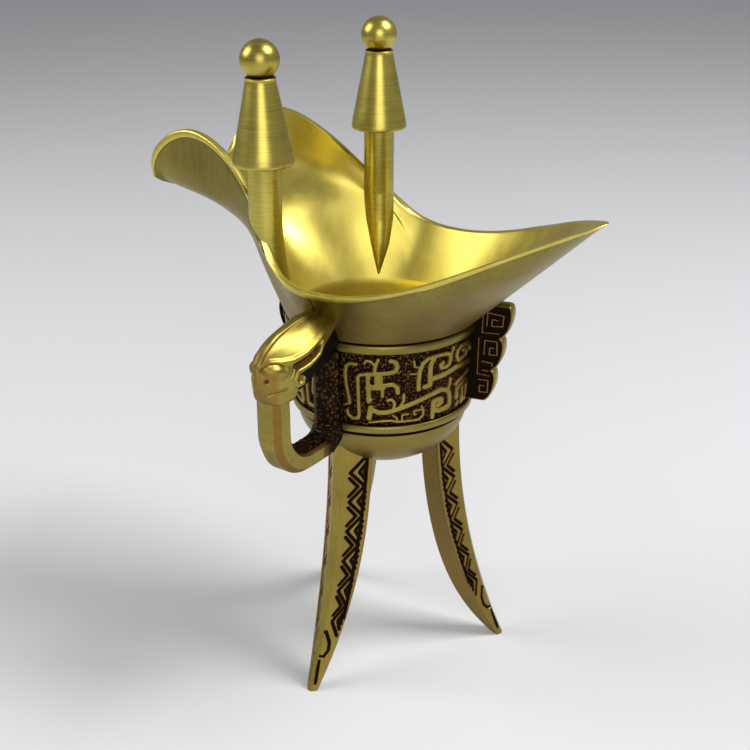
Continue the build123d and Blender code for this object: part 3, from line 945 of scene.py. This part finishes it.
class JUE_OT_band(bpy.types.Operator):
    """Makes the dragon band in four sections, from the handle and the back to the flanges"""

    bl_idname = "jue.band"
    bl_label = "Dragon band"

    def execute(self, context):
        sizes = context.scene.jue_sizes
        stock = finishes()
        sections = {
            "band_front_tail": (-90.0, FLANGE_AZIMUTHS["flange_tail"], 11),
            "band_front_spout": (-90.0, FLANGE_AZIMUTHS["flange_spout"] - 360.0, 12),
            "band_back_tail": (90.0, FLANGE_AZIMUTHS["flange_tail"], 13),
            "band_back_spout": (90.0, FLANGE_AZIMUTHS["flange_spout"], 14),
        }
        for name, (start, end, seed) in sections.items():
            self.lay_band(name, math.radians(start), math.radians(end), seed, sizes, stock)
        return {"FINISHED"}

    def lay_band(self, name, start, end, seed, sizes, stock):
        """Makes one section: raised strokes on granular ground, from one angle to another."""
        arc = abs(end - start) * BAND_ARC_RADIUS
        levels = np.linspace(BAND_MARGIN, BAND_HEIGHT - BAND_MARGIN, BAND_ROWS)
        u, v = np.meshgrid(np.linspace(0, arc, int(arc / BAND_STEP)), levels)
        flat = np.stack([u, v], axis=-1)
        relief = np.zeros(u.shape)
        crown = np.zeros(u.shape)
        for width, corners in BAND_STROKES:
            gap = distance_to(flat, corners)
            relief = np.maximum(relief, raised(gap, STROKE_GAIN * width, STROKE_BEVEL))
            crown = np.maximum(crown, np.clip(1 - (gap / (width * CROWN_SPREAD)) ** 2, 0, 1))
        eye_u, eye_v, half_u, half_v = BAND_EYE
        eye = np.hypot((u - eye_u) / half_u, (v - eye_v) / half_v)
        relief = np.minimum(relief, np.clip((eye - 0.8) / 0.4, 0, 1))
        grit = granules(u, v, sizes.granule / MM, seed) * (1 - relief)
        crowned = (1 - CROWN_SHARE) * relief + CROWN_SHARE * relief * crown
        height = sizes.relief / MM * crowned + GRIT_HEIGHT * grit
        radius = BAND_RADII[0] + (BAND_RADII[1] - BAND_RADII[0]) * v / BAND_HEIGHT + height
        angle = start + math.copysign(1, end - start) * u / BAND_ARC_RADIUS
        points = np.stack([radius * np.cos(angle), radius * np.sin(angle), LOWER_BEAD[1] + v], axis=-1)
        # Tops rubbed bare with coppery edges, granules bare only at their tips
        wear_and_shade = np.maximum(STROKE_WEAR * relief, GRIT_WEAR * grit**GRIT_POWER)
        # The ground turns in under the two beads
        hidden = BAND_TUCK * points[[0, -1]]
        hidden[..., 2] = points[[0, -1], :, 2]
        points = np.concatenate([hidden[:1], points, hidden[1:]])
        wear_and_shade = np.concatenate([0 * wear_and_shade[:1], wear_and_shade, 0 * wear_and_shade[:1]])
        piece = grid_piece(name, points, [stock["rubbed_patinated_brass"]], wear_and_shade=wear_and_shade, sharp=80)


def leg_sections(z):
    """Ridge reach, ridge half width, side half width and inner reach of a leg at height z."""
    drop = np.abs(1 - z / LEG_TOP_Z)
    ridge = LEG_RIDGE[0] + LEG_RIDGE[1] * drop ** LEG_RIDGE[2]
    half = LEG_HALF[0] + LEG_HALF[1] * (1 - drop ** LEG_HALF[2])
    inner = ridge - LEG_DEPTH[0] - LEG_DEPTH[1] * (1 - drop ** LEG_DEPTH[2])
    flat = (LEG_FLAT[0] + LEG_FLAT[1] * (1 - drop ** LEG_FLAT[2])) / 2
    return ridge, flat, half, inner


def face_width(z):
    """Width of a leg's sloping side face at height z."""
    _, flat, half, _ = leg_sections(z)
    return math.sqrt(2) * (half - flat)


def chevron(middle, ends, tip, half):
    """Groove of two arms, from the share of their ends to the share of their tip."""
    return [(ends, middle + half), (tip, middle), (ends, middle - half)]


def leg_strokes():
    """Grooves of one side face, as shares across the face and heights in mm."""
    near, far = ZIGZAG_SHARES
    zigzag = [(far, ZIGZAG_TOP + ZIGZAG_START)]
    chevrons = []
    for turn in range(ZIGZAG_TURNS):
        left = ZIGZAG_TOP - ZIGZAG_PERIOD * turn
        right = left - ZIGZAG_PERIOD / 2
        zigzag += [(near, left), (far, right)]
        chevrons += [chevron(left, *shape) for shape in BACK_CHEVRONS]
        if turn < ZIGZAG_TURNS - 1:
            chevrons.append(chevron(right, *RIDGE_CHEVRON))
    return [zigzag, LEG_BORDER, FOOT_HOOK, FOOT_LINE] + chevrons


class JUE_OT_legs(bpy.types.Operator):
    """Makes the three blade legs, with zigzag grooves on both side faces"""

    bl_idname = "jue.legs"
    bl_label = "Blade legs"

    def execute(self, context):
        sizes = context.scene.jue_sizes
        stock = finishes()
        segment = np.concatenate([np.full(n, k) for k, n in LEG_SPANS])
        share = np.concatenate([np.arange(n) / n for _, n in LEG_SPANS])
        columns = np.arange(len(segment))

        def outline(z):
            ridge, flat, half, inner = leg_sections(z)
            back = ridge - half + flat
            places = [
                (ridge, -flat), (ridge, flat), (back, half), (inner, flat), (inner, -flat), (back, -half),
            ]
            corners = np.stack([np.stack(place, -1) for place in places])
            rows = np.arange(z.shape[0])[:, None]
            first = corners[segment[None], rows, columns[None]]
            second = corners[(segment[None] + 1) % len(places), rows, columns[None]]
            return first * (1 - share[None, :, None]) + second * share[None, :, None]

        # Each column of the blade ends a little inside the wall of the bowl's round bottom
        top = np.full((1, len(segment)), LEG_START_Z)
        for _ in range(12):
            reach = np.minimum(np.linalg.norm(outline(top), axis=-1), BOWL_RADIUS - 0.05)
            top = LOWER_BEAD[0] - BOWL_DEPTH * np.sqrt(1 - (reach / BOWL_RADIUS) ** 2) + LEG_SINK
        z = top * (1 - np.linspace(0, 1, LEG_ROWS)[:, None])
        section = outline(z)
        left, right = segment == LEFT_FACE, segment == RIGHT_FACE
        on_face = (left | right)[None] & np.ones_like(z, bool)
        across = np.where(left, share, np.where(right, 1 - share, 0))[None] * np.ones_like(z)
        groove = np.zeros_like(z)
        spot = np.stack([across * face_width(z), z], axis=-1)
        for corners in leg_strokes():
            widths = face_width(np.array([h for _, h in corners]))
            line = [(t * w, h) for (t, h), w in zip(corners, widths)]
            cut = raised(distance_to(spot, line), sizes.groove_width / MM, GROOVE_BEVEL)
            groove = np.maximum(groove, cut)
        groove = np.where(on_face, groove, 0)
        lean = np.where(left, 1.0, np.where(right, -1.0, 0.0))[None] * math.sqrt(0.5)
        depth = sizes.groove / MM * groove
        section[..., 0] -= depth * math.sqrt(0.5)
        section[..., 1] -= depth * lean
        # Rubbed coppery along the sharp edges, dark in the grooves
        edge = np.clip((across - EDGE_START) / EDGE_SPAN, 0, 1)
        wear_and_shade = (1 - groove) * np.where(on_face, FACE_WEAR - EDGE_LOSS * edge, 1)
        wear_and_shade = np.where((segment > LEFT_FACE) & (segment < RIGHT_FACE), INNER_WEAR, wear_and_shade)
        blade = np.concatenate([section, z[..., None]], axis=-1)
        brass = [stock["drawn_patinated_brass"]]
        for name, azimuth in LEG_AZIMUTHS.items():
            points = swung(blade, azimuth)
            piece = grid_piece(name + "_blade", points, brass, wrap=True, wear_and_shade=wear_and_shade, sharp=32)
            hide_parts(name)
        return {"FINISHED"}


class JUE_OT_handle(bpy.types.Operator):
    """Makes the beast head and the faceted ring that comes from its mouth"""

    bl_idname = "jue.handle"
    bl_label = "Beast-head handle"

    def execute(self, context):
        brass = [finishes()["rubbed_patinated_brass"]]
        points, wear_and_shade = self.head()
        head = grid_piece("handle_head", points, brass, wrap=True, wear_and_shade=wear_and_shade, sharp=60)
        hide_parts("handle")
        points, wear_and_shade = self.ring()
        strap = grid_piece("handle_ring", points, brass, wrap=True, wear_and_shade=wear_and_shade, sharp=25)
        return {"FINISHED"}

    def head(self):
        """Points and wear of the beast's head, from its neck in the cup's wall to its snout."""
        sections = np.array(HEAD_SECTIONS)
        swing = np.sin(np.linspace(0, math.pi / 2, HEAD_ROWS))
        reach = sections[0, 0] + (sections[-1, 0] - sections[0, 0]) * swing
        shape = natural_spline(sections[:, 0], sections[:, 1:])(np.repeat(reach[:, None], 7, axis=1))
        crest, eave, eave_z, cheek, cheek_z, jaw, jaw_z = shape.T
        zero = np.zeros_like(crest)
        loop = [
            (zero, crest),
            (0.5 * eave, (crest + eave_z) / 2 + 0.5),
            (eave, eave_z),
            (cheek, cheek_z),
            (0.93 * cheek, (cheek_z + jaw_z) / 2),
            (jaw, jaw_z),
            (zero, jaw_z - 0.3),
        ]
        corners = np.array([np.stack(p, -1) for p in loop])
        mirrored = corners[-2:0:-1] * np.array([-1.0, 1.0])
        # Rounded between the corners by a closed smoothing of each section
        dense = between(np.concatenate([corners, mirrored]), HEAD_STEPS)
        weights = np.exp(-np.linspace(-2, 2, HEAD_BLUR) ** 2)
        weights /= weights.sum()
        dense = sum(w * np.roll(dense, k - HEAD_BLUR // 2, axis=0) for k, w in enumerate(weights))
        x = dense[..., 0].T
        z = dense[..., 1].T
        points = np.stack([x, -np.repeat(reach[:, None], x.shape[1], axis=1), z], axis=-1)
        round_it = np.roll(points, -1, axis=1) - np.roll(points, 1, axis=1)
        normal = np.cross(np.gradient(points, axis=0), round_it)
        normal /= np.maximum(np.linalg.norm(normal, axis=-1, keepdims=True), 1e-9)
        outward = points - np.array([0, 0, HEAD_MIDDLE_Z])
        outward[..., 1] = 0
        flip = np.sign((normal * outward).sum(-1, keepdims=True))
        normal *= np.where(flip == 0, 1, flip)

        # Features are drawn on one side and mirrored
        spot = points.copy()
        spot[..., 0] = np.abs(points[..., 0])
        out = -spot[..., 1]
        from_eye = spot - np.array(EYE_CENTRE)
        length = from_eye @ np.array(EYE_ALONG)
        height = np.sqrt(np.maximum((from_eye**2).sum(-1) - length**2, 0))
        eye = np.hypot(length / EYE_HALF_LENGTH, height / EYE_HALF_HEIGHT)
        lids = raised(np.abs(eye - LID_RING), 0.12, 0.3) * np.clip(0.35 + from_eye[..., 2], 0.15, 1)
        brow = raised(distance_to(spot, HEAD_BROW), 0.9, 1.0)
        trough = raised(distance_to(spot, HEAD_TROUGH), 0.9, 0.8)
        ear = raised(distance_to(spot, HEAD_EAR), 1.0, 0.7)
        mouth = raised(distance_to(spot, HEAD_MOUTH), 0.35, 0.6)
        corner = raised(np.linalg.norm(spot - np.array(EYE_CORNER), axis=-1), 0.8, 0.9)
        upper = np.clip((points[..., 2] - jaw_z[:, None] - 4.5) / 1.5, 0, 1)
        strip = raised(spot[..., 0], STRIP_WIDTH, 0.4) * upper
        ear_start, ear_top, ear_fall = EAR_EDGE
        under_ear = np.clip((ear_top - ear_fall * (out - ear_start) - 0.9 - spot[..., 2]) / 0.6, 0, 1)
        behind = np.clip((EAR_END - out) / 0.8, 0, 1) * under_ear * (1 - ear)
        lift = EYE_HEIGHT * np.clip(1 - eye**2, 0, 1) - LID_DEPTH * lids + BROW_HEIGHT * brow
        lift -= TROUGH_DEPTH * trough * (1 - ear)
        standing = EAR_HEIGHT * ear + STRIP_HEIGHT * strip
        lift += standing - MOUTH_DEPTH * mouth - CORNER_DEPTH * corner - BEHIND_DEPTH * behind
        points += normal * lift[..., None]
        dulled = [
            LID_DULL * lids,
            MOUTH_DULL * mouth,
            RECESS_DULL * np.maximum(trough * (1 - ear), corner),
            behind,
            STRIP_DULL * raised(np.abs(spot[..., 0] - STRIP_EDGE), 0.35, 0.5) * upper,
            FACE_DULL * np.clip((out - FACE_START) / 1.5, 0, 1),
        ]
        wear_and_shade = 1 - np.max(dulled, axis=0)
        # The neck ends inside the cup's wall
        wall_reach = MOUTH_RADIUS + SIDE_FLARE * np.maximum(points[..., 2] - MOUTH_Z, 0)
        root = wall_reach - NECK_SINK - WALL_BEND * points[..., 0] ** 2
        points[..., 1] = np.minimum(points[..., 1], -root)
        front = points[-1].mean(axis=0) * np.ones_like(points[:1])
        return np.concatenate([points, front]), np.concatenate([wear_and_shade, wear_and_shade[-1:]])

    def ring(self):
        """Points and wear of the ring: down from the mouth, under the finger gap, and up along the bowl."""
        front_reach, front_z = FRONT_CENTRE
        back_reach, back_z = BACK_CENTRE
        path = [(RING_FRONT, z) for z in np.linspace(RING_TOP, front_z, 40)]
        for a in np.linspace(0, math.pi / 2, 48)[1:]:
            path.append((front_reach + FRONT_BEND * math.cos(a), front_z - FRONT_BEND * math.sin(a)))
        path += [(r, RING_BOTTOM) for r in np.linspace(front_reach, back_reach, 20)[1:]]
        for a in np.linspace(0, math.pi / 2, 26)[1:]:
            path.append((back_reach - BACK_BEND * math.sin(a), back_z - BACK_BEND * math.cos(a)))
        path += [(RING_BACK, z) for z in np.linspace(back_z, RING_TOP, 60)[1:]]
        path = np.array(path)
        along = np.gradient(path, axis=0)
        steps = np.linalg.norm(along, axis=1, keepdims=True)
        along /= steps
        outer = np.stack([-along[:, 1], along[:, 0]], axis=1)
        section = between(np.array(RING_SECTION, float), RING_STEPS)
        # Rubbed olive in front, coppery on the corners, near-black and pebbled inside and towards the bowl
        place = np.cumsum(steps)[:, None] * np.ones(len(section))
        round_it = np.arange(len(section)) * RING_COLUMN_STEP * np.ones((len(path), 1))
        sides = section[None] * np.ones((len(path), 1, 1))
        within = np.clip((-0.6 - sides[..., 1]) / 0.2, 0, 1)
        toned = np.maximum(within, np.clip((PATINA_REACH - path[:, :1]) / PATINA_FADE, 0, 1))
        pebbles = granules(place, round_it, PEBBLE_SPACING, PEBBLE_SEED) * toned
        on_flat = np.sign(sides) * (np.abs(sides) > 0.95)
        x = sides[..., 0] * RING_HALF_WIDTH + PEBBLE_HEIGHT * pebbles * on_flat[..., 0]
        out = sides[..., 1] * RING_HALF_DEPTH + PEBBLE_HEIGHT * pebbles * on_flat[..., 1]
        z = path[:, 1:] + outer[:, 1:] * out
        reach = np.maximum(path[:, :1] + outer[:, :1] * out, RING_ROOT - WALL_BEND * x**2)
        bevel = (np.abs(sides).max(-1) < 0.97).astype(float)
        wear_and_shade = np.minimum(1 - BEVEL_DULL * bevel, 1 - toned * (1 - PEBBLE_WEAR * pebbles))
        return np.stack([x, -reach, z], axis=-1), wear_and_shade


class JUE_OT_flanges(bpy.types.Operator):
    """Makes the two lobed flanges, with a raised border and square hooks on each face"""

    bl_idname = "jue.flanges"
    bl_label = "Lobed flanges"

    def execute(self, context):
        sizes = context.scene.jue_sizes
        brass = [finishes()["rubbed_patinated_brass"]]
        lobe = (FLANGE_TOP - FLANGE_BOTTOM) / FLANGE_LOBES
        rows = np.linspace(FLANGE_TOP, FLANGE_BOTTOM, FLANGE_ROWS)
        part = np.clip((FLANGE_TOP - rows) / lobe, 0, LAST_LOBE)
        within = part - np.floor(part)
        taper = FLANGE_REACH - LOBE_DEPTH - FLANGE_TAPER * part / FLANGE_LOBES
        edge = taper + LOBE_DEPTH * np.sqrt(4 * within * (1 - within))
        share = np.linspace(0, 1, FLANGE_COLUMNS)
        z = np.repeat(rows[:, None], FLANGE_COLUMNS, axis=1)
        ends = [(PLATE_START, FLANGE_TOP)], [(PLATE_START, FLANGE_BOTTOM)]
        rim = np.concatenate([ends[0], np.stack([edge, rows], axis=-1), ends[1]])
        for name, azimuth in FLANGE_AZIMUTHS.items():
            # The plate starts inside the cup's wall, which flares out above the band
            angle = np.array([0.0 if azimuth < 90 else math.pi])
            wall_x = np.abs(mouth_outline(angle, rows[:, None], 0)[0][:, 0])
            root = np.where(rows > MOUTH_Z, wall_x - PLATE_SINK, PLATE_ROOT)
            root = np.minimum(root, edge - PLATE_SINK)
            reach = root[:, None] + (edge - root)[:, None] * share
            spot = np.stack([reach, z], axis=-1)
            border = distance_to(spot, rim)
            high = raised(border, BORDER_WIDTH, BORDER_BEVEL)
            for width, corners in FLANGE_STROKES:
                hook = raised(distance_to(spot, corners), width, GROOVE_BEVEL)
                high = np.maximum(high, hook * (border > BORDER_CLEAR))
            face = FLANGE_HALF - sizes.groove / MM * (1 - high)
            face -= EDGE_ROUND * np.clip(1 - border / EDGE_ROUND, 0, 1) ** 2
            front = np.stack([reach, -face, z], axis=-1)
            back = np.stack([reach, face, z], axis=-1)[:, ::-1]
            points = np.concatenate([front, back], axis=1)
            closed = points[[0, -1]] * np.array([1.0, 0.0, 1.0])
            points = swung(np.concatenate([closed[:1], points, closed[1:]]), azimuth)
            # Hooks and border coppery, brighter along the plate's very edge
            wear_and_shade = np.concatenate([high, high[:, ::-1]], axis=1)
            tip = np.concatenate([border, border[:, ::-1]], axis=1)
            wear_and_shade = wear_and_shade * (HOOK_WEAR + TIP_GAIN * np.clip(1 - tip / TIP_WIDTH, 0, 1))
            wear_and_shade = np.concatenate([wear_and_shade[:1], wear_and_shade, wear_and_shade[-1:]])
            wear_and_shade[[0, -1]] = 1.0
            piece = grid_piece(name + "_plate", points, brass, wrap=True, wear_and_shade=wear_and_shade, sharp=50)
            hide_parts(name)
        return {"FINISHED"}


def lathe(profile, centre, columns):
    """Grid of points from a profile of (radius, z), turned about the upright line through centre."""
    turn = np.linspace(0, 2 * math.pi, columns, endpoint=False)
    profile = np.asarray(profile, float)
    x = centre[0] + profile[:, :1] * np.cos(turn)
    y = centre[1] + profile[:, :1] * np.sin(turn)
    z = np.repeat(profile[:, 1:], columns, axis=1)
    return np.stack([x, y, z], axis=-1)


class JUE_OT_posts(bpy.types.Operator):
    """Makes the two posts: stems let down the inner wall, and turned caps with balls"""

    bl_idname = "jue.posts"
    bl_label = "Capped posts"

    def execute(self, context):
        wall = context.scene.jue_sizes.wall / MM
        brass = [finishes()["turned_brass"]]
        below = under_rim()
        for label, way in {"near": -1, "far": 1}.items():
            points, wear_and_shade = self.stem(way, wall, below)
            stem = grid_piece("post_stem_" + label + "_column", points, brass, wrap=True, wear_and_shade=wear_and_shade)
            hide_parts("post_stem_" + label)
            points, wear_and_shade = self.cap(way)
            cap = grid_piece("post_cap_" + label + "_turned", points, brass, wrap=True, wear_and_shade=wear_and_shade)
            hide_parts("post_cap_" + label)
        return {"FINISHED"}

    def stem(self, way, wall, below):
        """Points and painted contact shadow of a stem that leans down the inner wall, pressed flat against
        it, to a point.
        """
        turn = np.linspace(0, 2 * math.pi, STEM_COLUMNS, endpoint=False)
        path = np.array(STEM_PATH)[::-1]
        levels = np.linspace(STEM_PATH[0][2], STEM_PATH[-1][2], STEM_ROWS)
        x0, y0, radius = (np.interp(levels, path[:, 2], path[:, k])[:, None] for k in (0, 1, 3))
        x = x0 + radius * np.cos(turn)
        y = y0 + radius * np.sin(turn)
        z = levels[:, None] * np.ones(STEM_COLUMNS)
        spread = np.linspace(0, math.pi, 600)
        limit = np.full(x.shape, np.inf)
        for row, level in enumerate(levels):
            wall_x, wall_y = mouth_outline(spread, level, wall)
            limit[row] = np.interp(x[row], wall_x[::-1], wall_y[::-1])
        under = inside_line(below, x, z)
        pressed = under & (y > limit + STEM_SINK)
        # Painted contact shadow: dark where the stem nears the wall
        tone = np.where(under, np.clip((limit - y) / STEM_SHADE, 0, 1), 1.0)
        y = np.where(pressed, limit + STEM_SINK, y)
        points = np.stack([x, way * y, z], axis=-1)
        top = np.array([POST_X, way * POST_Y, STEM_PATH[0][2]]) * np.ones_like(points[:1])
        middle = points[-1:].mean(axis=1, keepdims=True) * np.ones_like(points[:1])
        wear_and_shade = STEM_CONTACT_SHADOW[0] + STEM_CONTACT_SHADOW[1] * np.concatenate([tone[:1], tone, tone[-1:]])
        return np.concatenate([top, points, middle]), wear_and_shade

    def cap(self, way):
        """Points of a turned cap with its ball, and its painted shade in the gap under the ball and under
        the skirt.
        """
        profile = list(CAP_SKIRT)
        for t in np.linspace(0.05, 0.97, 26):
            profile.append((CONE_FOOT[0] - CONE_RUN * t, CONE_FOOT[1] + CONE_RISE * t))
        profile += CAP_COLLAR
        for a in np.linspace(math.asin(NECK_RADIUS / BALL_RADIUS), math.pi, 34):
            profile.append((BALL_RADIUS * math.sin(a), BALL_Z - BALL_RADIUS * math.cos(a)))
        radii, heights = np.array(profile).T
        gap_bottom, gap_top, gap_shade = BALL_GAP_SHADE
        hollow_top, hollow_radius, underside_shade = SKIRT_UNDERSIDE_SHADE
        # Painted shade: dark in the gap under the ball and on the skirt's underside
        tone = np.where((heights > gap_bottom) & (heights < gap_top), gap_shade, 1.0)
        tone = np.where((heights < hollow_top) & (radii < hollow_radius), underside_shade, tone)
        points = lathe(profile, (POST_X, way * POST_Y), CAP_COLUMNS)
        return points, np.repeat(tone[:, None], CAP_COLUMNS, axis=1)


class JUE_OT_stage(bpy.types.Operator):
    """Makes the floor, the soft studio lights, the world and the camera at the photograph's angle"""

    bl_idname = "jue.stage"
    bl_label = "Stage"

    def execute(self, context):
        scene = context.scene
        scene.view_settings.view_transform = "Standard"
        shape = bmesh.new()
        bmesh.ops.create_grid(shape, x_segments=FLOOR_CELLS, y_segments=FLOOR_CELLS, size=FLOOR_HALF)
        mesh = bpy.data.meshes.new("floor")
        shape.to_mesh(mesh)
        shape.free()
        floor = bpy.data.objects.new("floor", mesh)
        scene.collection.objects.link(floor)
        # Matt painted board: even and pale, with a faint broad mottle
        paint = bpy.data.materials.new("matt_painted_board")
        paint.use_nodes = True
        tree = paint.node_tree
        place = add_node(tree, "ShaderNodeTexCoord", {}).outputs["Object"]
        patches = {"Scale": 1 / (MOTTLE_MM * MM), "Detail": 3.0}
        mottle = add_node(tree, "ShaderNodeTexNoise", patches, [("Vector", place)]).outputs["Fac"]
        pale = scene.jue_colours.floor
        shades = {
            "data_type": "RGBA",
            COLOUR_A: opaque([c * MOTTLE_SHADE for c in pale]),
            COLOUR_B: opaque(pale),
        }
        tint = add_node(tree, "ShaderNodeMix", shades, [(0, mottle)])
        shader = tree.nodes["Principled BSDF"]
        tree.links.new(tint.outputs[COLOUR_OUT], shader.inputs["Base Color"])
        shader.inputs["Roughness"].default_value = FLOOR_ROUGHNESS
        mesh.materials.append(paint)

        world = bpy.data.worlds.new("studio")
        scene.world = world
        world.use_nodes = True
        sky = world.node_tree.nodes["Background"]
        sky.inputs["Color"].default_value = opaque(scene.jue_colours.world)
        sky.inputs["Strength"].default_value = WORLD_STRENGTH
        for name, (spot, size, power) in LAMPS.items():
            lamp = bpy.data.lights.new(name, "AREA")
            lamp.size = size
            lamp.energy = power
            light = bpy.data.objects.new(name, lamp)
            light.location = spot
            light.rotation_euler = (Vector(LAMP_AIM) - Vector(spot)).to_track_quat("-Z", "Y").to_euler()
            scene.collection.objects.link(light)

        camera = bpy.data.cameras.new("photo_camera")
        camera.sensor_width = SENSOR_MM
        camera.lens = FOCAL_PIXELS / IMAGE_PIXELS * SENSOR_MM
        camera.clip_start = 0.01
        camera.clip_end = 50.0
        holder = bpy.data.objects.new("photo_camera", camera)
        yaw, pitch = math.radians(CAMERA_YAW), math.radians(CAMERA_PITCH)
        back = Vector((math.sin(yaw) * math.cos(pitch), -math.cos(yaw) * math.cos(pitch), math.sin(pitch)))
        holder.location = Vector((np.array(CAMERA_PLACE) + CUP_AXIS) * MM)
        holder.rotation_euler = (-back).to_track_quat("-Z", "Y").to_euler()
        scene.collection.objects.link(holder)
        scene.camera = holder
        return {"FINISHED"}


PIECE_OPERATORS = (
    JUE_OT_cup, JUE_OT_band, JUE_OT_legs, JUE_OT_handle, JUE_OT_flanges, JUE_OT_posts, JUE_OT_stage,
)


class JUE_PT_panel(bpy.types.Panel):
    """Lists the cup's sizes, colours and pieces"""

    bl_idname = "JUE_PT_panel"
    bl_label = "Bronze jue cup"
    bl_space_type = "VIEW_3D"
    bl_region_type = "UI"
    bl_category = "Jue"

    def draw(self, context):
        column = self.layout.column()
        for group in (context.scene.jue_sizes, context.scene.jue_colours):
            for name in group.__annotations__:
                column.prop(group, name)
        for operator in PIECE_OPERATORS:
            column.operator(operator.bl_idname)


CLASSES = (JueSizes, JueColours, *PIECE_OPERATORS, JUE_PT_panel)


def register():
    for made in CLASSES:
        bpy.utils.register_class(made)
    bpy.types.Scene.jue_sizes = bpy.props.PointerProperty(type=JueSizes)
    bpy.types.Scene.jue_colours = bpy.props.PointerProperty(type=JueColours)


def unregister():
    del bpy.types.Scene.jue_colours
    del bpy.types.Scene.jue_sizes
    for made in reversed(CLASSES):
        bpy.utils.unregister_class(made)


def main():
    register()
    bpy.ops.jue.stage()
    bpy.ops.jue.cup()
    bpy.ops.jue.band()
    bpy.ops.jue.legs()
    bpy.ops.jue.handle()
    bpy.ops.jue.flanges()
    bpy.ops.jue.posts()


if __name__ == "__main__":
    main()
